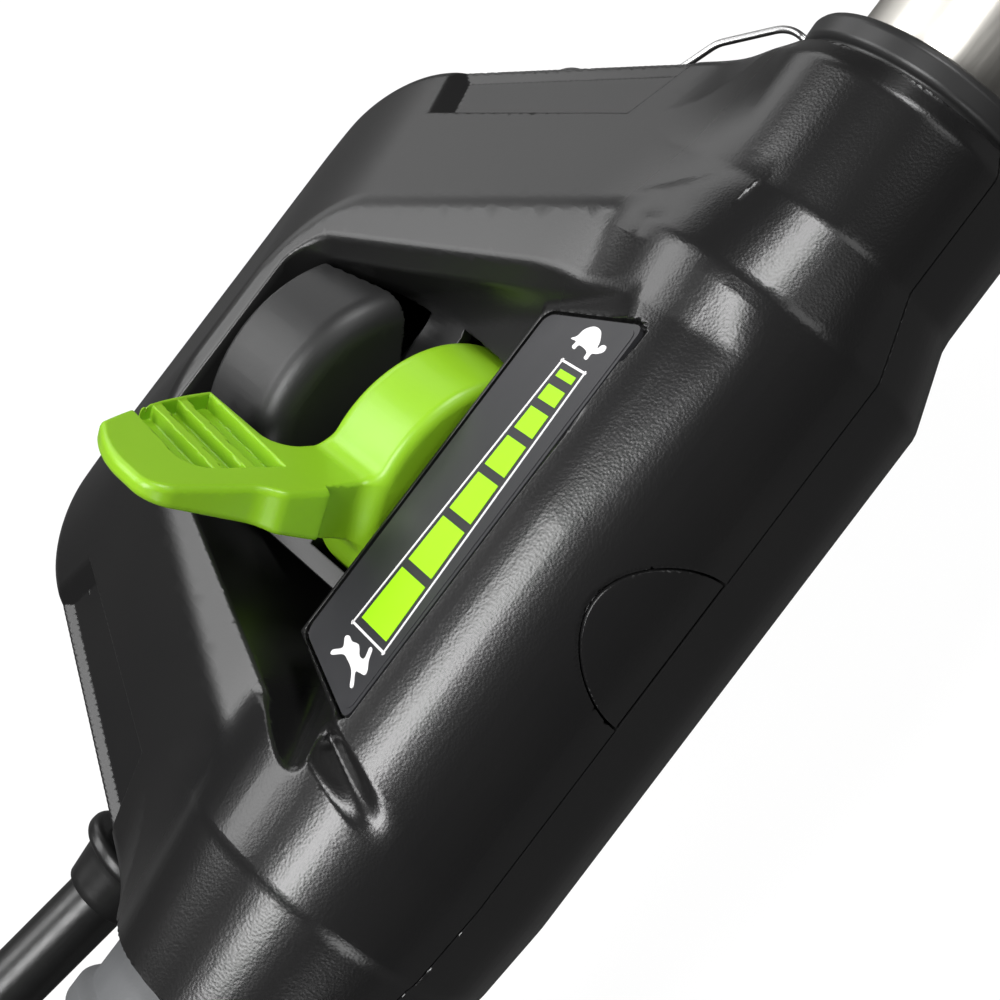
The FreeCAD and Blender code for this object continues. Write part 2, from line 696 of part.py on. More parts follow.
def motor_stator():
    core = pipe(V(0, 0, 12), Z, 30, 27, 9)
    teeth = []
    for i in range(9):
        tooth = block(-3, 3, 20, 28, 10, 44)
        tooth.rotate(O, Z, 40 * i)
        teeth.append(tooth)
    return in_head(core.fuse(teeth))


def motor_rotor():
    can = pipe(V(0, 0, 8), Z, 40, 34, 30)
    lid = pipe(V(0, 0, 48), Z, 3, 34, 5)
    return in_head(can.fuse(lid))


def motor_shaft():
    return in_head(rod(V(0, 0, -34), Z, 90, 5))


def motor_bearings():
    low = pipe(V(0, 0, 2.5), Z, 5, 11, 5.05)
    high = pipe(V(0, 0, 36), Z, 5, 9, 5.05)
    return in_head(group([low, high]))


def spool_housing():
    shell = turned([(-8, 6), (-8, 30), (-11, SPOOL_R - 3), (-16, SPOOL_R), (-36, SPOOL_R),
                    (-36, SPOOL_R - 3), (-17, SPOOL_R - 3), (-12, 28), (-12, 6)], Z)
    hub = pipe(V(0, 0, -34), Z, 26, 8, 5)
    shell = shell.fuse(hub)
    shell = shell.cut(rod(V(-60, 0, -26), X, 120, 2.6))
    return in_head(shell)


def line_eyelets():
    eyes = []
    for side in (1, -1):
        eyes.append(pipe(V(side * (SPOOL_R - 3), 0, -26), X * side, 5.5, 2.6, 1.5))
    return in_head(group(eyes))


def spool_cover():
    skirt = turned([(-36.2, SPOOL_R - 3.4), (-36.2, SPOOL_R), (-44, SPOOL_R - 1), (-50, SPOOL_R - 9),
                    (-52, 25), (-49, 25), (-47, SPOOL_R - 11), (-42, SPOOL_R - 4)], Z)
    return in_head(skirt)


def line_spool():
    drum = turned([(-18, 8.4), (-18, 40), (-19.5, 40), (-19.5, 24), (-32.5, 24), (-32.5, 40), (-34, 40),
                   (-34, 8.4)], Z)
    return in_head(drum)


def wound_line():
    return in_head(pipe(V(0, 0, -32.2), Z, 12.4, 38, 24.2))


def bump_knob():
    """Hollow knob whose flange is caught behind the lip of the spool cover."""
    knob = turned([(-52, 0), (-52, 15), (-38.5, 15), (-38.5, 27), (-42, 27), (-43.5, 22), (-56, 22),
                   (-62, 17), (-64, 10), (-64, 0)], Z)
    return in_head(knob.fuse(rod(V(0, 0, -52.5), Z, 14, 3)))


def bump_spring():
    return in_head(coil(V(0, 0, -51.3), Z, 16.2, 11, 0.7, 5))


def cutting_line():
    tails = []
    for side in (1, -1):
        tails.append(rod(V(side * (SPOOL_R - 4.5), 0, -26), X * side, 70, 1.2))
    return in_head(group(tails))


def guard():
    disc = rod(V(0, 0, -6), Z, 3, GUARD_R)
    rim = pipe(V(0, 0, -SKIRT_DEPTH), Z, SKIRT_DEPTH - 4, GUARD_R, GUARD_R - 3)
    back = block(-GUARD_CHORD - 0.01, -GUARD_CHORD + 3, -60, 60, -SKIRT_DEPTH, -4)
    full = disc.fuse([rim, back])
    full = full.common(block(-GUARD_CHORD, 30, -GUARD_R, GUARD_R, -60, 20))
    full = full.cut(rod(V(0, 0, -60), Z, 80, 30))
    wedge_corners = [(0, 0), (200, 60), (200, 300), (60, 300), (-20, 200)]
    wedge = extruded([V(x, y, -60) for x, y in wedge_corners], V(0, 0, 100))
    full = full.cut(wedge).cut(wedge.mirror(O, Y))
    full = full.cut(block(8, 200, -200, 200, -60, 20))
    collar = pipe(V(0, 0, -6), Z, 4, MOTOR_R - 2, 30)
    return in_head(full.fuse(collar))


def line_cutter():
    blade = block(-GUARD_CHORD * 0.45, -GUARD_CHORD * 0.45 + 20, 112, 128, -SKIRT_DEPTH - 1.4, -SKIRT_DEPTH)
    return in_head(blade)


def head_floor_z():
    """Height of the lowest edge of the guard, which the dock's feet are level with."""
    low = in_head(Part.Vertex(-GUARD_CHORD, 0, -SKIRT_DEPTH))
    return low.Point.z


FOOT_Z = head_floor_z()


def make_nodes():
    upper, lower = split_housing()
    return {
        "control_shell_upper": upper,
        "control_shell_lower": lower,
        "half_round_plug": half_round_plug(),
        "label_plate": label_form(-0.15, 0.0, LABEL_THICK).cut(upper),
        "shaft_collar": shaft_collar(),
        "shell_screws": shell_screws(),
        "speed_lever": speed_lever(),
        "sensor_cover": sensor_cover(),
        "lever_bracket": lever_bracket(),
        "lever_axle": lever_axle(),
        "speed_sensor": speed_sensor(),
        "control_board": control_board(),
        "cable_gland": cable_gland(),
        "control_cable": control_cable(),
        "retainer_wire": retainer_wire(),
        "wing_screw": wing_screw(),
        "grip_sleeve": grip_sleeve(),
        "trigger": trigger(),
        "trigger_pin": trigger_pin(),
        "trigger_spring": trigger_spring(),
        "trigger_switch": trigger_switch(),
        "lock_off_button": lock_off_button(),
        "lock_off_spring": lock_off_spring(),
        "dock_shell": dock_shell(),
        "terminal_block": terminal_block(),
        "power_controller": power_controller(),
        "dock_feet": dock_feet(),
        "battery_case": battery_case(),
        "battery_lid": battery_lid(),
        "battery_cells": battery_cells(),
        "battery_latch": battery_latch(),
        "latch_spring": latch_spring(),
        "upper_tube": upper_tube(),
        "shaft_coupler": shaft_coupler(),
        "coupler_knob": coupler_knob(),
        "lower_tube": lower_tube(),
        "motor_lead": motor_lead(),
        "hanger_ring": hanger_ring(),
        "handle_clamp": handle_clamp(),
        "handle_clamp_cap": handle_clamp_cap(),
        "clamp_screws": clamp_screws(),
        "loop_handle": loop_handle(),
        "loop_grip": loop_grip(),
        "handle_knob": handle_knob(),
        "motor_housing": motor_housing(),
        "motor_cover": motor_cover(),
        "motor_stator": motor_stator(),
        "motor_rotor": motor_rotor(),
        "motor_shaft": motor_shaft(),
        "motor_bearings": motor_bearings(),
        "spool_housing": spool_housing(),
        "spool_cover": spool_cover(),
        "line_eyelets": line_eyelets(),
        "line_spool": line_spool(),
        "wound_line": wound_line(),
        "bump_knob": bump_knob(),
        "bump_spring": bump_spring(),
        "cutting_line": cutting_line(),
        "guard": guard(),
        "line_cutter": line_cutter(),
    }


def main():
    os.makedirs("parts", exist_ok=True)
    nodes = make_nodes()
    whole = group(list(nodes.values())).BoundBox
    to_origin = V(-(whole.XMin + whole.XMax) / 2, -(whole.YMin + whole.YMax) / 2, -whole.ZMin)
    for name, shape in nodes.items():
        shape.translate(to_origin)
        shape.exportStep("parts/" + name + ".step")
        print(name, "solids", len(shape.Solids), "valid", shape.isValid(), "volume", round(shape.Volume))
    print("moved by", to_origin, "size", whole.XLength, whole.YLength, whole.ZLength)


main()
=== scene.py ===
"""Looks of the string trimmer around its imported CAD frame.

The control housing, the lever and the hub cover are drawn as distance fields. The label, the neck ring and
the springs are meshes. All but the springs use a working frame in millimetres: X along the shaft from the
lever's hub towards the head, Y towards the wing, Z up, zero on the shaft's axis.
"""

import math

import bmesh
import bpy
import numpy as np
import openvdb
from mathutils import Matrix, Vector


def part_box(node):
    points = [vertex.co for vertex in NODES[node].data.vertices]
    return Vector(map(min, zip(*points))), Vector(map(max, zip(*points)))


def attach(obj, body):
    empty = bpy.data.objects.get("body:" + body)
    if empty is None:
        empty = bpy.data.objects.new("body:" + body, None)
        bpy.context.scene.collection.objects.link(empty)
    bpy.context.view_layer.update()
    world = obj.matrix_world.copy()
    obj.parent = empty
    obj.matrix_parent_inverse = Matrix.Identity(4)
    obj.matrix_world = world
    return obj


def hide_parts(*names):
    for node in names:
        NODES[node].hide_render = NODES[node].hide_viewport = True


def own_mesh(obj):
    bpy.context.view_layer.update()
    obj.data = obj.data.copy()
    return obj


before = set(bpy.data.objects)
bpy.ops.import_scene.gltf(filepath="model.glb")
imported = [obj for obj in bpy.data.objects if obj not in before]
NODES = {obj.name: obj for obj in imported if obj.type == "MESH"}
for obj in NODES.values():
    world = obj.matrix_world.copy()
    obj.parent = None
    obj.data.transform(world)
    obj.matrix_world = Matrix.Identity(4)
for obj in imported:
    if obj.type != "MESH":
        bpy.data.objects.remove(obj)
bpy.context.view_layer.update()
MM = 0.001

axle_low, axle_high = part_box("lever_axle")
tube_low, tube_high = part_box("upper_tube")
ORIGIN = Vector(((axle_low[0] + axle_high[0]) / 2, 0, (tube_low[2] + tube_high[2]) / 2))
HUB_Z = (axle_low[2] + axle_high[2]) / 2 / MM - ORIGIN.z / MM


def place(points):
    """Working millimetres to the frame's metres."""
    return np.asarray(points, dtype=float) * MM + np.array(ORIGIN)


def spot(x, y, z):
    """One working point in the frame's metres."""
    return ORIGIN + Vector((x, y, z)) * MM


def add_object(name, data):
    """New object with its data, linked into the scene."""
    thing = bpy.data.objects.new(name, data)
    bpy.context.scene.collection.objects.link(thing)
    return thing


def round_edges(piece, width_mm, least_angle):
    """Fine bevel on the edges that turn by more than an angle in degrees."""
    bevel = piece.modifiers.new("edges", "BEVEL")
    bevel.width = width_mm * MM
    bevel.segments = 2
    bevel.limit_method = "ANGLE"
    bevel.angle_limit = math.radians(least_angle)
    bevel.use_clamp_overlap = True
    bevel.harden_normals = True


# ------------------------------------------------------------------ materials

class Shader:
    """A material with a Principled shader, and short ways to add nodes to it."""

    def __init__(self, name, color, roughness, **sockets):
        self.material = bpy.data.materials.new(name)
        self.material.use_nodes = True
        self.tree = self.material.node_tree
        self.main = self.tree.nodes["Principled BSDF"]
        self.main.inputs["Base Color"].default_value = (*color, 1)
        self.main.inputs["Roughness"].default_value = roughness
        for socket, value in sockets.items():
            self.main.inputs[socket.replace("_", " ")].default_value = value
        self.where = self.add("ShaderNodeTexCoord").outputs["Object"]
        self.bump_height = None

    def add(self, kind, **settings):
        node = self.tree.nodes.new(kind)
        for key, value in settings.items():
            setattr(node, key, value)
        return node

    def link(self, source, target):
        self.tree.links.new(source, target)

    def noise(self, size_mm, detail=2.0, stretch=(1, 1, 1)):
        """Noise between 0 and 1 whose blotches are about size_mm wide."""
        scale = self.add("ShaderNodeVectorMath", operation="MULTIPLY")
        self.link(self.where, scale.inputs[0])
        scale.inputs[1].default_value = stretch
        noise = self.add("ShaderNodeTexNoise")
        noise.inputs["Scale"].default_value = 0.5 / (size_mm * MM)
        noise.inputs["Detail"].default_value = detail
        self.link(scale.outputs[0], noise.inputs["Vector"])
        return noise.outputs["Fac"]

    def cells(self, size_mm):
        """Rounded pebbles about size_mm wide, as on moulded leather grain."""
        cells = self.add("ShaderNodeTexVoronoi", feature="SMOOTH_F1")
        cells.inputs["Scale"].default_value = 1 / (size_mm * MM)
        cells.inputs["Smoothness"].default_value = 0.6
        self.link(self.where, cells.inputs["Vector"])
        return cells.outputs["Distance"]

    def ramp(self, source, low, high):
        """Maps a source from 0..1 to low..high."""
        ramp = self.add("ShaderNodeMapRange")
        ramp.inputs["To Min"].default_value = low
        ramp.inputs["To Max"].default_value = high
        self.link(source, ramp.inputs["Value"])
        return ramp.outputs["Result"]

    def math(self, operation, a, b):
        node = self.add("ShaderNodeMath", operation=operation)
        for socket, value in zip(node.inputs, (a, b)):
            if isinstance(value, (int, float)):
                socket.default_value = value
            else:
                self.link(value, socket)
        return node.outputs[0]

    def tint(self, source, dark, light):
        """Colour that runs between two tones with the source."""
        mix = self.add("ShaderNodeMix", data_type="RGBA")
        tones = {"A_Color": dark, "B_Color": light}
        for socket in mix.inputs:
            if socket.identifier in tones:
                socket.default_value = (*tones[socket.identifier], 1)
        self.link(source, mix.inputs["Factor"])
        blended = [s for s in mix.outputs if s.identifier == "Result_Color"][0]
        self.link(blended, self.main.inputs["Base Color"])

    def rough(self, source, low, high):
        self.link(self.ramp(source, low, high), self.main.inputs["Roughness"])

    def bump(self, source, depth_mm):
        """Adds relief of about depth_mm on top of the relief so far."""
        bump = self.add("ShaderNodeBump")
        bump.inputs["Strength"].default_value = 1.0
        bump.inputs["Distance"].default_value = depth_mm * MM
        self.link(source, bump.inputs["Height"])
        if self.bump_height is not None:
            self.link(self.bump_height, bump.inputs["Normal"])
        self.bump_height = bump.outputs["Normal"]
        self.link(self.bump_height, self.main.inputs["Normal"])


def grained_plastic(name, dark, light, roughness, pebble_mm, depth_mm):
    """Black moulded plastic with leather-like pebbles and a few lighter scuffs."""
    look = Shader(name, dark, roughness)
    look.tint(look.noise(9), dark, light)
    look.rough(look.noise(2.2, 4), roughness - 0.05, roughness + 0.07)
    look.bump(look.cells(pebble_mm), depth_mm)
    look.bump(look.noise(pebble_mm * 0.6, 3), depth_mm * 0.7)
    return look.material


def satin_plastic(name, dark, light, roughness, depth_mm=0.006):
    look = Shader(name, dark, roughness)
    look.tint(look.noise(14), dark, light)
    look.rough(look.noise(3, 5), roughness - 0.04, roughness + 0.06)
    look.bump(look.noise(0.35, 3), depth_mm)
    return look.material


def housing_plastic():
    """One moulding with coarse grain over the round barrel that gets finer on the wing."""
    look = Shader("housing_plastic", (0.010, 0.010, 0.0105), 0.36)
    split = look.add("ShaderNodeSeparateXYZ")
    look.link(look.where, split.inputs[0])
    on_wing = look.add("ShaderNodeMapRange", interpolation_type="SMOOTHSTEP")
    on_wing.inputs["From Min"].default_value = 9 * MM
    on_wing.inputs["From Max"].default_value = 20 * MM
    look.link(split.outputs["Y"], on_wing.inputs["Value"])
    wing = on_wing.outputs["Result"]
    look.tint(look.noise(10), (0.0085, 0.0085, 0.009), (0.0125, 0.0122, 0.012))
    look.rough(wing, 0.25, 0.33)
    pebbles = look.math("MULTIPLY", look.cells(0.34), look.ramp(wing, 1.0, 0.25))
    look.bump(pebbles, 0.012)
    fine = look.math("MULTIPLY", look.noise(0.2, 2), look.ramp(wing, 1.0, 0.4))
    look.bump(fine, 0.007)
    return look.material


def lime_plastic():
    look = Shader("lime_plastic", (0.25, 0.50, 0.016), 0.34, Subsurface_Weight=0.08)
    look.main.inputs["Subsurface Radius"].default_value = (0.004, 0.006, 0.001)
    look.main.inputs["Subsurface Scale"].default_value = 0.3
    look.tint(look.noise(7), (0.235, 0.475, 0.013), (0.27, 0.53, 0.019))
    look.rough(look.noise(1.5, 4), 0.30, 0.42)
    look.bump(look.noise(0.4, 3), 0.007)
    return look.material


def satin_metal(name, color, roughness, brushed=(1, 1, 1)):
    look = Shader(name, color, roughness, Metallic=1.0)
    look.rough(look.noise(0.7, 5, brushed), roughness - 0.08, roughness + 0.1)
    look.bump(look.noise(0.3, 3, brushed), 0.004)
    return look.material


def flat_print(name, color, roughness=0.4):
    look = Shader(name, color, roughness)
    look.rough(look.noise(1.2, 3), roughness - 0.05, roughness + 0.05)
    look.bump(look.noise(0.25, 2), 0.002)
    return look.material


def rubber(name, dark, light, roughness):
    look = Shader(name, dark, roughness)
    look.tint(look.noise(6, 4), dark, light)
    look.rough(look.noise(1.1, 4), roughness - 0.08, roughness + 0.1)
    look.bump(look.noise(0.45, 4), 0.02)
    return look.material


HOUSING = housing_plastic()
SATIN_BLACK = satin_plastic("satin_black", (0.016, 0.016, 0.0165), (0.021, 0.021, 0.021), 0.38)
COVER_BLACK = satin_plastic("cover_black", (0.014, 0.014, 0.0145), (0.018, 0.018, 0.018), 0.42, 0.012)
GRAINED = grained_plastic("grained_black", (0.011, 0.011, 0.0115), (0.016, 0.0155, 0.015), 0.42, 0.9, 0.045)
LIME = lime_plastic()
ALUMINIUM = satin_metal("anodised_aluminium", (0.60, 0.58, 0.54), 0.36, (0.12, 1, 1))
STEEL = satin_metal("steel", (0.52, 0.52, 0.52), 0.28)
WIRE = satin_metal("spring_wire", (0.42, 0.42, 0.42), 0.3)
COPPER = satin_metal("copper_winding", (0.72, 0.38, 0.20), 0.35)
GREY_RUBBER = rubber("grey_rubber", (0.085, 0.088, 0.092), (0.115, 0.118, 0.122), 0.55)
BLACK_RUBBER = rubber("black_rubber", (0.012, 0.012, 0.012), (0.019, 0.019, 0.019), 0.5)
CABLE_BLACK = rubber("cable_black", (0.010, 0.010, 0.010), (0.014, 0.014, 0.014), 0.33)
LABEL_GROUND = flat_print("label_ground", (0.028, 0.028, 0.031), 0.36)
LABEL_LIME = flat_print("label_lime", (0.33, 0.76, 0.004), 0.42)
LABEL_WHITE = flat_print("label_white", (0.80, 0.79, 0.80), 0.4)
BOARD_GREEN = satin_plastic("board_green", (0.01, 0.10, 0.04), (0.012, 0.13, 0.05), 0.35)
CELL_WRAP = satin_plastic("cell_wrap", (0.03, 0.11, 0.32), (0.035, 0.13, 0.36), 0.3)
LINE_NYLON = satin_plastic("line_nylon", (0.22, 0.46, 0.02), (0.26, 0.52, 0.03), 0.25)


# ------------------------------------------------------------------ distance fields

def rounded_max(a, b, radius):
    """Intersection of two fields with an edge of that radius."""
    corner = np.sqrt(np.maximum(a + radius, 0) ** 2 + np.maximum(b + radius, 0) ** 2)
    return np.minimum(-radius, np.maximum(a, b)) + corner


def filleted_min(a, b, radius):
    """Union of two fields with a fillet of that radius."""
    corner = np.sqrt(np.maximum(radius - a, 0) ** 2 + np.maximum(radius - b, 0) ** 2)
    return np.maximum(radius, np.minimum(a, b)) - corner


def blended_min(a, b, width):
    """Union of two fields that also stays slim where they are almost tangent."""
    overlap = np.maximum(width - np.abs(a - b), 0)
    return np.minimum(a, b) - overlap * overlap / (4 * width)


def plane(p, q, s, inside):
    """Field of the half space through three points that holds the point inside."""
    p, q, s = (np.array(v, dtype=float) for v in (p, q, s))
    normal = np.cross(q - p, s - p)
    normal /= np.linalg.norm(normal)
    if normal @ (np.array(inside) - p) > 0:
        normal = -normal
    offset = normal @ p
    return lambda x, y, z: (normal[0] * x + normal[1] * y + normal[2] * z - offset).astype(np.float32)


def sample(field, low, high, step, creases=()):
    """Points and faces of a field's zero surface, with points pulled onto the given sharp edges."""
    axes = [np.arange(a, b + step, step, dtype=np.float32) for a, b in zip(low, high)]
    values = field(axes[0][:, None, None], axes[1][None, :, None], axes[2][None, None, :])
    values = np.clip(values / step, -2, 2).astype(np.float32)
    grid = openvdb.FloatGrid(background=2.0)
    grid.copyFromArray(np.ascontiguousarray(values))
    points, triangles, quads = grid.convertToPolygons(isovalue=0.0, adaptivity=0.01)
    points = np.array(low) + points.astype(float) * step
    faces = [tuple(int(i) for i in face) for face in (*triangles, *quads)]
    for _ in range(2):
        value, slope = slope_of(field, points)
        points -= np.clip(value, -step, step)[:, None] * slope
    for first, second in creases:
        sharpen(points, first, second, 0.8 * step)
    return points, faces


def sharpen(points, first, second, reach):
    """Moves the points close to the edge between two fields onto it."""
    near = (np.abs(first(*points.T)) < reach) & (np.abs(second(*points.T)) < reach)
    moved = points[near]
    for _ in range(4):
        for field in (first, second):
            value, slope = slope_of(field, moved)
            moved = moved - value[:, None] * slope
    fits = np.linalg.norm(moved - points[near], axis=1) < 1.6 * reach
    points[np.flatnonzero(near)[fits]] = moved[fits]


def slope_of(field, points, reach=0.08):
    """Value and unit gradient of a field at points."""
    x, y, z = points.T
    gradient = np.stack([
        field(x + reach, y, z) - field(x - reach, y, z),
        field(x, y + reach, z) - field(x, y - reach, z),
        field(x, y, z + reach) - field(x, y, z - reach),
    ], axis=1).astype(float)
    length = np.linalg.norm(gradient, axis=1)
    gradient /= np.maximum(length, 1e-6)[:, None]
    return field(x, y, z) * (2 * reach / np.maximum(length, reach)), gradient


def piece_from_points(name, points, faces, materials):
    mesh = bpy.data.meshes.new(name)
    mesh.from_pydata([tuple(p) for p in place(points)], [], faces)
    mesh.validate()
    for material in materials:
        mesh.materials.append(material)
    mesh.shade_smooth()
    return add_object(name, mesh)


def sculpt(name, parts, material, step_scale=1.0):
    """Piece made of fields, each given as (field, low corner, high corner, step, sharp edges)."""
    all_points, all_faces, all_normals = [], [], []
    start = 0
    for field, low, high, step, creases in parts:
        points, faces = sample(field, low, high, step * step_scale, creases)
        corners = np.concatenate([np.array(face) for face in faces])
        sizes = np.array([len(face) for face in faces])
        centres = np.add.reduceat(points[corners], np.r_[0, np.cumsum(sizes)[:-1]]) / sizes[:, None]
        near = points[corners] * 0.7 + np.repeat(centres, sizes, axis=0) * 0.3
        all_normals.append(slope_of(field, near)[1])
        all_points.append(points)
        all_faces += [tuple(i + start for i in face) for face in faces]
        start += len(points)
    piece = piece_from_points(name, np.concatenate(all_points), all_faces, [material])
    normals = np.concatenate(all_normals)
    if len(normals) == len(piece.data.loops):
        piece.data.normals_split_custom_set(normals.tolist())
    return piece


QUALITY = 1.0

# ------------------------------------------------------------------ control housing

SEAM_Z = 6.3
SEAM_GAP = 0.16
WALL = 2.4
LAND_Z = 20.0
RIM_Z = 8.8
NECK_END_X = 68.0
TAIL_END_X = -66.4
BASE_Z = -20.0
WELL_FLOOR_Z = 9.0
WELL_FAR_Y = 53.2
WELL_PIT_X, WELL_PIT_Z = -19.6, -12
TUBE_BORE_R, TUBE_BORE_START_X = 12.8, 33
TAIL_BORE_R, TAIL_BORE_END_X = 16.1, -60
HOLLOW_END_X = 47
GLAND_X, GLAND_Y, GLAND_Z, GLAND_LEAN = -66, 33, -6, 0.17
GLAND_HOLE_R, GLAND_HOLE_END_X = 5.5, -44
DRUM_MID_Y, COVER_MID_Y = 22.5, 42.5
PLUG_X, PLUG_R, PLUG_GAP = -0.5, 10.3, 0.3
HANDLE_R, HANDLE_BORE_R = 16.0, 13.4
BARREL_PROFILE = ((-72, 18.0), (-66, 18.8), (-48.0, 21.7), (-47.4, 22.0), (-36, 22.75),
                  (38, 22.75), (48.8, 19), (65.2, 19), (68, 17.4), (75, 17.4))
VALLEY_X, VALLEY_HALF_WIDTH, VALLEY_DEPTH, VALLEY_END_Y = -31.0, 2.9, 3.2, -15.0
INSIDE = (0, 30, 0)

profile_x = np.arange(-80, 80, 0.1)
profile_r = np.interp(profile_x, *zip(*BARREL_PROFILE))
profile_r = np.convolve(np.pad(profile_r, 6, mode="edge"), np.ones(13) / 13, mode="valid")
profile_slope = np.gradient(profile_r, profile_x)


def smooth_step(t):
    t = np.clip(t, 0, 1)
    return t * t * (3 - 2 * t)


def dip(x, y, z):
    """Depth of the valley and of the shallow dip that cross the barrel at the ends of the label."""
    across = np.abs(x - VALLEY_X - 0.3 * np.minimum(y, 0)) / VALLEY_HALF_WIDTH
    valley = VALLEY_DEPTH * smooth_step(1 - across) * smooth_step((y - VALLEY_END_Y) / 14)
    slope_foot = np.interp(x, (4, 26, 30, 36), (0, 0.8, 1.0, 0)) * smooth_step((y + 15) / 8)
    return (valley + slope_foot) * (z > 0)


def barrel(x, y, z):
    """Round body along the shaft, from the tail to the mouth of the neck."""
    radius = np.interp(x, profile_x, profile_r) - dip(x, y, z)
    lean = 1 / np.sqrt(1 + np.interp(x, profile_x, profile_slope) ** 2)
    return ((np.sqrt(y * y + z * z) - radius) * lean).astype(np.float32)


def mirrored(point):
    return (-point[0], point[1], point[2])


RIGHT_SEAM = ((45.7, 63, SEAM_Z), (66, 20, SEAM_Z))
RIGHT_LAND = (18.5, 56.3, LAND_Z)
FAR_SEAM = ((0, 73.5, SEAM_Z), (10, 73.5, SEAM_Z))
RIGHT_RIM = ((44.75, 62.55, RIM_Z), (65.05, 19.55, RIM_Z))
FAR_RIM = ((0, 71.6, RIM_Z), (10, 71.6, RIM_Z))
right_slant = plane(*RIGHT_RIM, RIGHT_LAND, INSIDE)
left_slant = plane(*(mirrored(p) for p in (*RIGHT_RIM, RIGHT_LAND)), INSIDE)
far_slant = plane(*FAR_RIM, (0, 56.3, LAND_Z), INSIDE)
right_edge = plane(*RIGHT_SEAM, RIGHT_RIM[0], INSIDE)
left_edge = plane(*(mirrored(p) for p in (*RIGHT_SEAM, RIGHT_RIM[0])), INSIDE)
far_edge = plane(*FAR_SEAM, FAR_RIM[0], INSIDE)
RIGHT_BASE = (36.7, 63, BASE_Z)
right_side = plane(*RIGHT_SEAM, RIGHT_BASE, INSIDE)
left_side = plane(*(mirrored(p) for p in (*RIGHT_SEAM, RIGHT_BASE)), INSIDE)
far_side = plane(*FAR_SEAM, (0, 63, BASE_Z), INSIDE)


def wing(x, y, z):
    """Flat-topped wing with broad slanted upper faces and steeper lower ones."""
    slants = rounded_max(np.maximum(right_slant(x, y, z), left_slant(x, y, z)), far_slant(x, y, z), 5)
    top = rounded_max(slants, z - LAND_Z, 0.55)
    edges = rounded_max(np.maximum(right_edge(x, y, z), left_edge(x, y, z)), far_edge(x, y, z), 8)
    sides = rounded_max(np.maximum(right_side(x, y, z), left_side(x, y, z)), far_side(x, y, z), 8)
    low = rounded_max(rounded_max(sides, edges, 0.6), BASE_Z - z, 5)
    body = rounded_max(top, low, 1.0)
    body = rounded_max(body, np.abs(x) - 66.5, 4)
    return np.maximum(body, -y)


# The label lies in a plane that tips 17 degrees towards the well.
LABEL_NEAR_Y, LABEL_FAR_Y = -2.6, 14.5
LABEL_NEAR_Z, LABEL_FAR_Z = 22.1, 16.9
LABEL_NEAR_X = (-28.4, 27.6)
LABEL_FAR_X = (-24.7, 23.4)
LABEL_POCKET_DEPTH = 0.85
label_top = plane((0, LABEL_NEAR_Y, LABEL_NEAR_Z), (1, LABEL_NEAR_Y, LABEL_NEAR_Z),
                  (0, LABEL_FAR_Y, LABEL_FAR_Z), (0, 0, 0))


def label_end(near_x, far_x):
    """Upright plane through one slanted end of the label."""
    near = (near_x, LABEL_NEAR_Y, 0)
    return plane(near, (far_x, LABEL_FAR_Y, 0), (near_x, LABEL_NEAR_Y, 9), INSIDE)


def label_outline(grow):
    """Field of the label's four edges, moved out by grow, as a prism along Z."""
    left, right = (label_end(*ends) for ends in zip(LABEL_NEAR_X, LABEL_FAR_X))

    def field(x, y, z):
        ends = np.maximum(left(x, y, z), right(x, y, z))
        length = np.maximum(y - LABEL_FAR_Y, LABEL_NEAR_Y - y)
        return rounded_max(ends, length, 1.4) - grow
    return field


label_pocket = label_outline(0.22)
label_pad = label_outline(1.5)

well_left = plane((-24.2, 33.9, LAND_Z), (-34, 6.6, LAND_Z), (-24.5, 17, -12), INSIDE)
well_right = plane((16, 49.2, LAND_Z), (32.3, 4.1, LAND_Z), (24.6, 15.0, 16.6), INSIDE)
well_right_low = plane((15.5, 43, 15), (21.4, 26, 15), (21.0, 26, WELL_FLOOR_Z), INSIDE)
label_end_slope = plane((25.2, 14.9, 16.8), (29.0, -3, 22.2), (31.4, 13, 19.8), (0, 5, 40))
valley_floor = plane((0, 1, 20), (1, 1, 20), (0, 14, 8), (0, 0, 40))
ledge_left = plane((-29.3, LABEL_NEAR_Y, 20), (-25.6, LABEL_FAR_Y, 20), (-28.0, LABEL_NEAR_Y, 5), (0, 5, 20))


def well(x, y, z):
    """Open space around the lever, which runs out over the barrel in a valley past the label's end."""
    right = filleted_min(well_right(x, y, z), well_right_low(x, y, z), 0.4)
    right = rounded_max(right, label_end_slope(x, y, z), 3)
    walls = rounded_max(well_left(x, y, z), right, 4)
    walls = rounded_max(walls, y - WELL_FAR_Y + 0.12 * (LAND_Z - z), 4.5)
    shallow = rounded_max(walls, WELL_FLOOR_Z - z, 1.5)
    deep = rounded_max(np.maximum(walls, x - WELL_PIT_X), WELL_PIT_Z - z, 2)
    space = np.minimum(shallow, deep)
    space = rounded_max(space, valley_floor(x, y, z), 2.5)
    ledge = np.maximum(y - LABEL_FAR_Y - 1.0, ledge_left(x, y, z))
    ledge = rounded_max(ledge, label_top(x, y, z), 0.5)
    return rounded_max(space, -ledge, 0.6)


NOTCH_DEPTH = 2.0
NOTCH_FLOOR_MIN_Z = 7.2
NOTCH_INNER = ((38.0, 56.2), (50.4, 27.1))
NOTCH_END_Y = 27.1
notch_inner = plane((*NOTCH_INNER[0], 0), (*NOTCH_INNER[1], 0), (*NOTCH_INNER[0], 9), (80, 50, 0))
notch_far = plane((38.0, 56.2, 12.5), (43.6, 60.4, 9.6), (39.6, 55.0, 10.2), (60, 45, 0))


def right_or_left_slant(x, y, z):
    return right_slant(np.abs(x), y, z)


def notch_floor(x, y, z):
    return np.maximum(-NOTCH_DEPTH - right_or_left_slant(x, y, z), NOTCH_FLOOR_MIN_Z - z)


def notch_inner_wall(x, y, z):
    return notch_inner(np.abs(x), y, z) - 0.15 * right_or_left_slant(x, y, z)


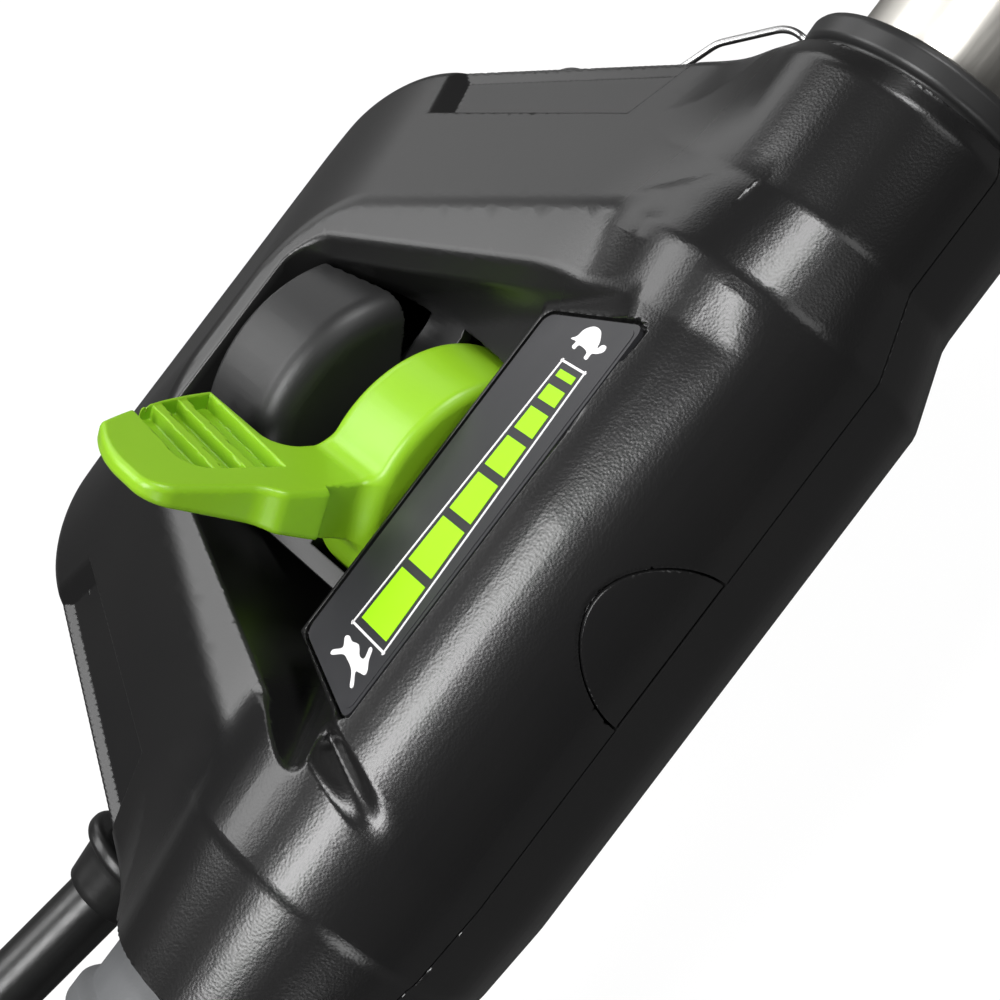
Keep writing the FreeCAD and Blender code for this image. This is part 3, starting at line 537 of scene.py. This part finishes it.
def notch_ends(x, y, z):
    near = NOTCH_END_Y - y + 0 * x + 0 * z
    return np.maximum(near, notch_far(np.abs(x), y, z))


def notch(x, y, z):
    """Shallow pocket along the outer edge of a slanted face, with its floor parallel to the face."""
    step = np.maximum(notch_floor(x, y, z), notch_inner_wall(x, y, z))
    return np.maximum(step, notch_ends(x, y, z))


def slots(x, y, z):
    """Clearances for the lever's drum and the sensor under its cover."""
    reach = np.sqrt(x * x + (z - HUB_Z) ** 2)
    drum = np.maximum(reach - 18.0, np.abs(y - DRUM_MID_Y) - 6.8)
    sensor = np.maximum(reach - 17.2, np.abs(y - COVER_MID_Y) - 6.0)
    return np.minimum(drum, sensor)


def outer(x, y, z):
    """Outside of the closed housing, before anything is sunk into it."""
    width = 1.6 + 6 * np.clip((19 - z) / 6, 0, 1)
    body = blended_min(barrel(x, y, z), wing(x, y, z), width)
    body = np.maximum(body, x - NECK_END_X)
    return np.maximum(body, TAIL_END_X - x)


def housing(x, y, z):
    """The hollow housing with the well, the notches, the label's pocket and the bores."""
    skin = outer(x, y, z)
    space = well(x, y, z)
    hollow = np.maximum(skin + WALL, WALL - space)
    tube = np.maximum(np.sqrt(y * y + z * z) - TUBE_BORE_R, TUBE_BORE_START_X - x)
    tail = np.maximum(np.sqrt(y * y + z * z) - TAIL_BORE_R, x - TAIL_BORE_END_X)
    hollow = np.minimum(np.maximum(hollow, x - HOLLOW_END_X), np.minimum(tube, tail))
    pad = np.maximum(label_pad(x, y, z), -label_top(x, y, z) - 3)
    hollow = np.maximum(hollow, -np.minimum(pad, notch(x, y, z) - WALL))
    body = np.maximum(rounded_max(skin, -space, 0.5), -hollow)
    body = rounded_max(body, -notch(x, y, z), 0.35)
    pocket = np.maximum(label_pocket(x, y, z), -label_top(x, y, z) - LABEL_POCKET_DEPTH)
    gland = np.sqrt((y - GLAND_Y - GLAND_LEAN * (GLAND_X - x)) ** 2 + (z - GLAND_Z) ** 2) - GLAND_HOLE_R
    gland = np.maximum(gland, x - GLAND_HOLE_END_X)
    body = np.maximum(body, -np.minimum(pocket, gland))
    return np.maximum(body, -slots(x, y, z))


def plug_disc(x, y, z):
    return np.maximum(np.sqrt((x - PLUG_X) ** 2 + (z - SEAM_Z) ** 2) - PLUG_R, y + 8)


def plug_rim(x, y, z):
    return plug_disc(x, y, z) + PLUG_GAP


def upper_shell(x, y, z):
    liner = well(x, y, z) - WALL
    body = np.maximum(housing(x, y, z), np.minimum(SEAM_Z + SEAM_GAP - z, liner))
    return np.maximum(body, -np.maximum(plug_disc(x, y, z), SEAM_Z - z - 1))


def lower_shell(x, y, z):
    liner = well(x, y, z) - WALL - 0.3
    return np.maximum(np.maximum(housing(x, y, z), z - SEAM_Z + SEAM_GAP), -liner)


def plug(x, y, z):
    face = np.maximum(barrel(x, y, z), -barrel(x, y, z) - WALL)
    half = np.maximum(plug_rim(x, y, z), SEAM_Z + SEAM_GAP - z)
    return np.maximum(face, half)


def handle_tube(side):
    """Half of the tube inside the grip, open where the trigger and the lock-off button go in."""
    def field(x, y, z):
        radius = np.sqrt(y * y + z * z)
        wall = np.maximum(radius - HANDLE_R, HANDLE_BORE_R - radius)
        wall = np.maximum(wall, np.maximum(-186 - x, x + 61))
        half = side * (SEAM_Z - z) + SEAM_GAP
        trigger = np.maximum(np.maximum(np.abs(x + 115) - 27, np.abs(y) - 6.1), z + 6)
        button = np.maximum(np.maximum(np.abs(x + 119) - 8.6, np.abs(y) - 5.6), 6 - z)
        return np.maximum(np.maximum(wall, half), -np.minimum(trigger, button))
    return field


def seam_side(side):
    return lambda x, y, z: z - SEAM_Z - side * SEAM_GAP + 0 * x


def make_housing():
    tube_box = ((-188, -17, -17), (-59, 17, 17), 0.8, ())
    upper_edges = [(outer, seam_side(1)), (barrel, plug_disc), (plug_disc, seam_side(1)),
                   (label_top, label_pocket)]
    top = sculpt("housing_top", [
        (upper_shell, (-69, -25, -17), (72, 77, 25), 0.4, upper_edges), (handle_tube(1), *tube_box)],
        HOUSING, QUALITY)
    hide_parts("control_shell_upper")
    low = sculpt("housing_base", [
        (lower_shell, (-69, -25, -25), (72, 77, 8), 0.5, [(outer, seam_side(-1))]),
        (handle_tube(-1), *tube_box)], HOUSING, QUALITY)
    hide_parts("control_shell_lower")
    disc = sculpt("barrel_plug", [
        (plug, (-12, -24, 5), (11, -9, 18), 0.3, [(barrel, plug_rim), (plug_rim, seam_side(1))])],
        HOUSING, QUALITY)
    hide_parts("half_round_plug")
    for piece in (top, low, disc):
        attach(piece, "frame")


# ------------------------------------------------------------------ lever and sensor cover

DRUM_R = 17.0
COVER_R = 19.5
COVER_Y = (35.5, 49.5)
LEVER_LEAN = math.radians(-30)
ARM_TOP = 3.3
AXLE_HOLE_R = 3.05


def lever_frame(x, z):
    """Distance out along the arm and height over its middle plane."""
    out = x * math.sin(LEVER_LEAN) + (z - HUB_Z) * math.cos(LEVER_LEAN)
    up = x * math.cos(LEVER_LEAN) - (z - HUB_Z) * math.sin(LEVER_LEAN)
    return out, up


def box_2d(u, v, u0, u1, v0, v1, radius):
    """Field of a rectangle with rounded corners."""
    du = np.abs(u - (u0 + u1) / 2) - (u1 - u0) / 2 + radius
    dv = np.abs(v - (v0 + v1) / 2) - (v1 - v0) / 2 + radius
    outside = np.sqrt(np.maximum(du, 0) ** 2 + np.maximum(dv, 0) ** 2)
    return outside + np.minimum(np.maximum(du, dv), 0) - radius


def paddle_plan(out, y):
    """Outline of arm and paddle seen square to the top face."""
    wide = rounded_max(18.0 + 0.143 * (out - 23.8) - y, y - 44.1 + 0.16 * (out - 23.1), 0.5)
    wide = rounded_max(wide, 23.4 - out + 0.02 * (44 - y), 0.7)
    wide = rounded_max(wide, out - 46.4, 3.4)
    wide = rounded_max(wide, 0.62 * (out - 43.4) + 0.785 * (y - 38.6), 7)
    arm = box_2d(out, y, 6, 30, 17.9, 28.6, 0.6)
    return filleted_min(wide, arm, 3.5)


def lever(x, y, z):
    """Drum on the axle with an arm that widens into a paddle, which has a thumb pocket with two ribs."""
    out, up = lever_frame(x, z)
    reach = np.sqrt(x * x + (z - HUB_Z) ** 2)
    drum = rounded_max(reach - DRUM_R, np.abs(y - DRUM_MID_Y) - 6, 1.6)
    under = -3.6 + (out - 23.9) * 0.203
    slab = rounded_max(paddle_plan(out, y), np.maximum(up - ARM_TOP, under - up), 0.9)
    slab = np.maximum(slab, np.where(out < 23.9, 18.15 - y, -9))
    body = filleted_min(drum, np.maximum(slab, 4 - out), 2.2)
    skewed = out + 0.09 * (y - 32)
    outer_edge = rounded_max(skewed - 38.1, 24.2 - y + 0.1 * (out - 32), 3.5)
    pocket_plan = np.maximum(np.maximum(25.3 - skewed, outer_edge), y - 40.6 + 0.2 * (out - 36))
    pocket = np.maximum(pocket_plan, ARM_TOP - 2.2 - up)
    ribs = np.minimum(np.abs(skewed - 33.9), np.abs(skewed - 29.7)) - 0.7
    ribs = np.maximum(ribs, up - ARM_TOP + 0.3)
    pocket = rounded_max(pocket, -ribs, 0.2)
    body = rounded_max(body, -pocket, 0.25)
    return np.maximum(body, AXLE_HOLE_R - reach)


def cover(x, y, z):
    """Hollow round cover over the sensor, cut off at the floor and the walls of the well."""
    reach = np.sqrt(x * x + (z - HUB_Z) ** 2)
    near_rim = rounded_max(reach - COVER_R, COVER_Y[0] - y, 3.8)
    body = rounded_max(near_rim, y - COVER_Y[1], 0.6)
    inner = np.maximum(reach - COVER_R + 2, np.abs(y - COVER_MID_Y) - 5)
    body = np.maximum(body, -inner)
    body = np.maximum(body, WELL_FLOOR_Z - 0.6 - z)
    walls = np.maximum(well_left(x, y, z), well_right(x, y, z)) + 0.3
    return np.maximum(body, walls)


def make_lever():
    handle = sculpt("lime_lever", [(lever, (-30, 15, -15), (19, 45, 47), 0.34, ())], LIME, QUALITY)
    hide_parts("speed_lever")
    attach(handle, "speed_lever")
    hood = sculpt("hub_cover", [(cover, (-21, 34, 7), (21, 51, 24), 0.36, ())], COVER_BLACK, QUALITY)
    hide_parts("sensor_cover")
    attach(hood, "frame")


# ------------------------------------------------------------------ label

LABEL_ACROSS = Vector((0, LABEL_FAR_Y - LABEL_NEAR_Y, LABEL_FAR_Z - LABEL_NEAR_Z)).normalized()
LABEL_WIDTH = math.hypot(LABEL_FAR_Y - LABEL_NEAR_Y, LABEL_FAR_Z - LABEL_NEAR_Z)
LABEL_NORMAL = Vector((1, 0, 0)).cross(LABEL_ACROSS)


def on_label(x, v, lift):
    """Working point on the label: x along the shaft, v across from its near edge, lift off its face."""
    return Vector((x, LABEL_NEAR_Y, LABEL_NEAR_Z)) + LABEL_ACROSS * v + LABEL_NORMAL * lift


def rounded_polygon(corners, radius, steps=6):
    """Outline with each corner replaced by an arc-like curve."""
    outline = []
    count = len(corners)
    for i, corner in enumerate(corners):
        here = Vector(corner)
        before = (Vector(corners[i - 1]) - here).normalized() * radius
        after = (Vector(corners[(i + 1) % count]) - here).normalized() * radius
        for k in range(steps + 1):
            t = k / steps
            outline.append(here + before * (1 - t) ** 2 + after * t ** 2)
    return outline


def add_sheet(mesh, outline, top, bottom, slot):
    """Adds a flat prism over an outline of (x, v) pairs on the label."""
    count = len(outline)
    upper = [mesh.verts.new(on_label(p[0], p[1], top)) for p in outline]
    lower = [mesh.verts.new(on_label(p[0], p[1], bottom)) for p in outline]
    faces = [mesh.faces.new(upper), mesh.faces.new(lower[::-1])]
    for i in range(count):
        j = (i + 1) % count
        faces.append(mesh.faces.new((upper[j], upper[i], lower[i], lower[j])))
    for face in faces:
        face.material_index = slot


def add_frame(mesh, corners, width, top, bottom, slot):
    """Adds a thin line of constant width along a closed outline."""
    count = len(corners)
    centre = sum((Vector(c) for c in corners), Vector((0, 0))) / count
    for i in range(count):
        a, b = Vector(corners[i]), Vector(corners[(i + 1) % count])
        along = (b - a).normalized()
        side = Vector((-along.y, along.x))
        if side.dot(centre - a) < 0:
            side = -side
        reach = along * width * 0.5
        strip = [a - reach, b + reach, b + reach + side * width, a - reach + side * width]
        if (strip[1] - strip[0]).cross(strip[2] - strip[1]) < 0:
            strip.reverse()
        add_sheet(mesh, strip, top, bottom, slot)


def smooth_loop(points, steps=5):
    """Closed curve through the points."""
    loop = []
    count = len(points)
    for i in range(count):
        p0, p1, p2, p3 = (Vector(points[(i + k) % count]) for k in (-1, 0, 1, 2))
        for s in range(steps):
            t = s / steps
            loop.append(0.5 * (2 * p1 + (p2 - p0) * t + (2 * p0 - 5 * p1 + 4 * p2 - p3) * t ** 2
                               + (3 * p1 - p0 - 3 * p2 + p3) * t ** 3))
    return loop


# Generic pictograms, drawn head to the right in units of their own width.
TORTOISE = ((-0.50, -0.16), (-0.40, -0.05), (-0.36, 0.12), (-0.18, 0.27), (0.06, 0.28), (0.24, 0.14),
            (0.32, 0.02), (0.38, 0.12), (0.50, 0.14), (0.53, 0.04), (0.42, -0.06), (0.30, -0.12),
            (0.30, -0.25), (0.20, -0.26), (0.14, -0.15), (-0.16, -0.15), (-0.20, -0.26), (-0.31, -0.25),
            (-0.32, -0.14))
HARE = ((-0.52, 0.06), (-0.45, 0.13), (-0.30, 0.12), (-0.10, 0.18), (0.10, 0.10), (0.24, 0.14),
        (0.16, 0.30), (0.24, 0.32), (0.36, 0.18), (0.50, 0.08), (0.52, 0.00), (0.38, -0.05),
        (0.30, -0.10), (0.50, -0.24), (0.44, -0.29), (0.20, -0.14), (-0.08, -0.10), (-0.26, -0.12),
        (-0.48, -0.28), (-0.54, -0.22), (-0.38, -0.06))


def pictogram(shape, centre, width, turn):
    turned = Matrix.Rotation(turn, 2)
    return [Vector(centre) + turned @ (Vector(p) * width) for p in smooth_loop(shape)]


# Material slots of the label, and how far its print stands off and reaches into the ground.
GROUND_SLOT, LIME_SLOT, WHITE_SLOT = 0, 1, 2
PRINT_TOP, PRINT_BOTTOM = 0.02, -0.1
EDGE_GAP = 0.22


def make_label():
    """Plate with a slightly raised field, a framed scale of seven bars and a pictogram at each end."""
    near, far = EDGE_GAP, LABEL_WIDTH - EDGE_GAP
    mesh = bmesh.new()
    plate = [(LABEL_NEAR_X[0] + 0.25, near), (LABEL_NEAR_X[1] - 0.25, near),
             (LABEL_FAR_X[1] - 0.2, far), (LABEL_FAR_X[0] + 0.2, far)]
    add_sheet(mesh, rounded_polygon(plate, 1.6), -0.12, -0.8, GROUND_SLOT)
    field = [(LABEL_NEAR_X[0] + 1.1, near + 0.5), (LABEL_NEAR_X[1] - 1.1, near + 0.5),
             (LABEL_FAR_X[1] - 0.8, far - 0.5), (LABEL_FAR_X[0] + 0.8, far - 0.5)]
    add_sheet(mesh, rounded_polygon(field, 1.4), -0.04, -0.2, GROUND_SLOT)
    slow_x, fast_x = 19.4, -19.8
    slow_half, fast_half = 2.75, 4.5
    middle = 6.4
    corners = [(slow_x, middle - slow_half), (slow_x, middle + slow_half),
               (fast_x, middle + fast_half), (fast_x, middle - fast_half)]
    add_frame(mesh, corners, 0.3, PRINT_TOP, PRINT_BOTTOM, WHITE_SLOT)
    x = slow_x - 1.1
    for i in range(7):
        length = 1.0 + 1.09 * i
        spread = [(x, 1), (x, -1), (x - length, -1), (x - length, 1)]
        bar = []
        for px, side in spread:
            share = (slow_x - px) / (slow_x - fast_x)
            half = slow_half + (fast_half - slow_half) * share - 1.0
            bar.append((px, middle - side * half))
        add_sheet(mesh, bar, PRINT_TOP, PRINT_BOTTOM, LIME_SLOT)
        x -= length + 1.16
    for shape, centre, width in ((TORTOISE, (22.6, 6.9), 6.6), (HARE, (-22.5, 6.3), 7.6)):
        outline = pictogram(shape, centre, width, math.radians(-97))
        add_sheet(mesh, outline, PRINT_TOP, PRINT_BOTTOM, WHITE_SLOT)
    for vertex in mesh.verts:
        vertex.co = ORIGIN + vertex.co * MM
    bmesh.ops.recalc_face_normals(mesh, faces=mesh.faces)
    data = bpy.data.meshes.new("scale_label")
    mesh.to_mesh(data)
    for material in (LABEL_GROUND, LABEL_LIME, LABEL_WHITE):
        data.materials.append(material)
    label = add_object("scale_label", data)
    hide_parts("label_plate")
    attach(label, "frame")


# ------------------------------------------------------------------ lathed pieces

def lathe(name, profile, material, segments=160):
    """Piece turned about the shaft's axis from (x, radius) pairs, closed on itself."""
    points, faces = [], []
    count = len(profile)
    for k in range(segments):
        turn = 2 * math.pi * k / segments
        points += [(x, r * math.sin(turn), r * math.cos(turn)) for x, r in profile]
    for k in range(segments):
        for i in range(count):
            a, b = k * count + i, k * count + (i + 1) % count
            c, d = (a + count) % len(points), (b + count) % len(points)
            faces.append((a, b, d, c))
    piece = piece_from_points(name, points, faces, [material])
    mesh = bmesh.new()
    mesh.from_mesh(piece.data)
    bmesh.ops.recalc_face_normals(mesh, faces=mesh.faces)
    mesh.to_mesh(piece.data)
    round_edges(piece, 0.25, 25)
    return piece


NECK_RING = ((68, 12.75), (68, 16.4), (68.7, 16.4), (69, 16.9), (69.4, 17.2), (71.6, 17.3),
             (72.4, 16.9), (72.8, 16.2), (72.8, 12.75))


def make_collar():
    ring = lathe("neck_ring", NECK_RING, SATIN_BLACK)
    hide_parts("shaft_collar")
    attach(ring, "frame")


# ------------------------------------------------------------------ springs

HEAD_AXIS = Vector((-0.573576, 0, 0.819152))
# Spring, its body, the joint that shortens it, the way to its fixed end, its length in millimetres
# and the share of that length left when it is pressed.
SPRINGS = (
    ("trigger_spring", "frame", "trigger_pull", Vector((0, 0, 1)), 5.3, 0.4),
    ("lock_off_spring", "frame", "lock_off_press", Vector((0, 0, -1)), 3.0, 0.12),
    ("latch_spring", "frame", "latch_press", Vector((1, 0, 0)), 6.9, 0.25),
    ("bump_spring", "cutting_head", "bump_press", HEAD_AXIS, 17.6, 0.75),
)


def make_springs():
    """Copies of the CAD springs in spring wire, each carried by the body named in its row."""
    for node, body, joint, to_fixed_end, length, keep in SPRINGS:
        mesh = NODES[node].data.copy()
        mesh.transform(NODES[node].matrix_world)
        mesh.materials.clear()
        mesh.materials.append(WIRE)
        spring = add_object(node + "_coil", mesh)
        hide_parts(node)
        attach(spring, body)
        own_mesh(spring)


# ------------------------------------------------------------------ CAD pieces that stay

def dress(names, material, bevel_mm=0.3):
    """Gives CAD pieces a finish and fine rounded edges."""
    for name in names:
        piece = NODES[name]
        piece.data.materials.clear()
        piece.data.materials.append(material)
        weld = piece.modifiers.new("weld", "WELD")
        weld.merge_threshold = 1e-6
        if bevel_mm:
            round_edges(piece, bevel_mm, 35)


def dress_all():
    dress(["upper_tube", "lower_tube"], ALUMINIUM, 0.2)
    dress(["motor_lead", "cable_gland", "control_cable"], CABLE_BLACK, 0.3)
    dress(["shell_screws", "lever_axle", "wing_screw", "trigger_pin", "clamp_screws", "motor_shaft",
           "line_eyelets", "line_cutter", "hanger_ring", "motor_rotor", "motor_bearings"], STEEL, 0.15)
    dress(["retainer_wire"], WIRE, 0)
    dress(["lever_bracket", "speed_sensor", "trigger_switch", "terminal_block", "handle_knob",
           "coupler_knob"], SATIN_BLACK, 0.4)
    dress(["trigger", "shaft_coupler", "handle_clamp", "handle_clamp_cap", "loop_handle"], GRAINED, 0.7)
    dress(["dock_shell", "battery_case", "motor_housing", "spool_housing", "spool_cover", "guard",
           "bump_knob"], GRAINED, 0.8)
    dress(["lock_off_button", "battery_lid", "battery_latch", "motor_cover", "line_spool"], LIME, 0.6)
    dress(["control_board", "power_controller"], BOARD_GREEN, 0)
    dress(["grip_sleeve"], GREY_RUBBER, 0.5)
    dress(["loop_grip", "dock_feet"], BLACK_RUBBER, 0.8)
    dress(["motor_stator"], COPPER, 0.2)
    dress(["battery_cells"], CELL_WRAP, 0.4)
    dress(["wound_line", "cutting_line"], LINE_NYLON, 0.1)


# ------------------------------------------------------------------ stage, lights and camera

TARGET = spot(2.0, 10.0, 7.8)
CAMERA_TILT = math.radians(38)
TO_CAMERA = Vector((0, -math.sin(CAMERA_TILT), math.cos(CAMERA_TILT)))
ACROSS_SHAFT = Vector((0, math.cos(CAMERA_TILT), math.sin(CAMERA_TILT)))
CAMERA_DISTANCE = 229.3 * MM
CAMERA_LENS, CAMERA_SENSOR = 67.7, 36
# Shares of the shaft's direction in the picture's right and up.
SHAFT_RIGHT, SHAFT_UP = 0.605, 0.796
FLOOR_SIZE = 8
FLOOR_TONE = 0.08
FLOOR_GLOW = 0.93
WORLD_FILL = 0.03


def make_floor():
    """Flat floor that glows to the camera and stays dark to all other rays."""
    mesh = bmesh.new()
    bmesh.ops.create_grid(mesh, x_segments=1, y_segments=1, size=FLOOR_SIZE)
    data = bpy.data.meshes.new("floor")
    mesh.to_mesh(data)
    floor = add_object("floor", data)
    look = bpy.data.materials.new("floor")
    look.use_nodes = True
    nodes, links = look.node_tree.nodes, look.node_tree.links
    shader = nodes["Principled BSDF"]
    shader.inputs["Base Color"].default_value = (FLOOR_TONE, FLOOR_TONE, FLOOR_TONE, 1)
    shader.inputs["Roughness"].default_value = 0.9
    shader.inputs["Emission Color"].default_value = (1, 1, 1, 1)
    seen = nodes.new("ShaderNodeLightPath")
    glow = nodes.new("ShaderNodeMath")
    glow.operation = "MULTIPLY"
    glow.inputs[1].default_value = FLOOR_GLOW
    links.new(seen.outputs["Is Camera Ray"], glow.inputs[0])
    links.new(glow.outputs[0], shader.inputs["Emission Strength"])
    data.materials.append(look)


def softbox(name, direction, distance, size, energy, long_axis=(1, 0, 0)):
    """Rectangular lamp that faces the control housing; distance and size in metres, energy in watts."""
    lamp = bpy.data.lights.new(name, "AREA")
    lamp.shape = "RECTANGLE"
    lamp.size, lamp.size_y = size
    lamp.energy = energy
    holder = add_object(name, lamp)
    away = Vector(direction).normalized()
    side = (Vector(long_axis) - away * away.dot(Vector(long_axis))).normalized()
    turn = Matrix((side, away.cross(side), away)).transposed().to_4x4()
    holder.matrix_world = Matrix.Translation(TARGET + away * distance) @ turn


def make_lights():
    """White world, bright to the camera and faint to the trimmer, and six lamps."""
    world = bpy.data.worlds.new("studio")
    world.use_nodes = True
    nodes, links = world.node_tree.nodes, world.node_tree.links
    seen = nodes.new("ShaderNodeLightPath")
    strength = nodes.new("ShaderNodeMapRange")
    strength.inputs["To Min"].default_value = WORLD_FILL
    strength.inputs["To Max"].default_value = 1.0
    links.new(seen.outputs["Is Camera Ray"], strength.inputs["Value"])
    links.new(strength.outputs["Result"], nodes["Background"].inputs["Strength"])
    nodes["Background"].inputs["Color"].default_value = (1, 1, 1, 1)
    bpy.context.scene.world = world
    bpy.context.scene.view_settings.view_transform = "Standard"
    softbox("strip_above", (-0.30, -0.158, 0.955), 1.2, (0.85, 0.32), 15)
    softbox("panel_right", (0.79, -0.18, 0.585), 1.2, (0.35, 0.35), 7, (0, 1, 0))
    softbox("panel_front_right", (0.57, -0.66, 0.49), 1.3, (0.5, 0.5), 1.6)
    softbox("panel_far", (-0.10, 0.616, 0.788), 1.6, (1.15, 0.7), 15)
    softbox("panel_left_front", (-0.74, -0.6, 0.25), 1.3, (0.4, 0.4), 2.5, (0, 0, 1))
    softbox("panel_far_low", (0.40, 0.86, 0.28), 1.6, (1.2, 0.6), 4)


def make_camera():
    data = bpy.data.cameras.new("camera")
    data.lens = CAMERA_LENS
    data.sensor_width = CAMERA_SENSOR
    data.clip_start = 0.01
    camera = add_object("camera", data)
    right = Vector((SHAFT_RIGHT, 0, 0)) - ACROSS_SHAFT * SHAFT_UP
    up = Vector((SHAFT_UP, 0, 0)) + ACROSS_SHAFT * SHAFT_RIGHT
    turn = Matrix((right.normalized(), up.normalized(), TO_CAMERA)).transposed().to_4x4()
    camera.matrix_world = Matrix.Translation(TARGET + TO_CAMERA * CAMERA_DISTANCE) @ turn
    bpy.context.scene.camera = camera


make_housing()
make_lever()
make_label()
make_collar()
make_springs()
dress_all()
make_floor()
make_lights()
make_camera()
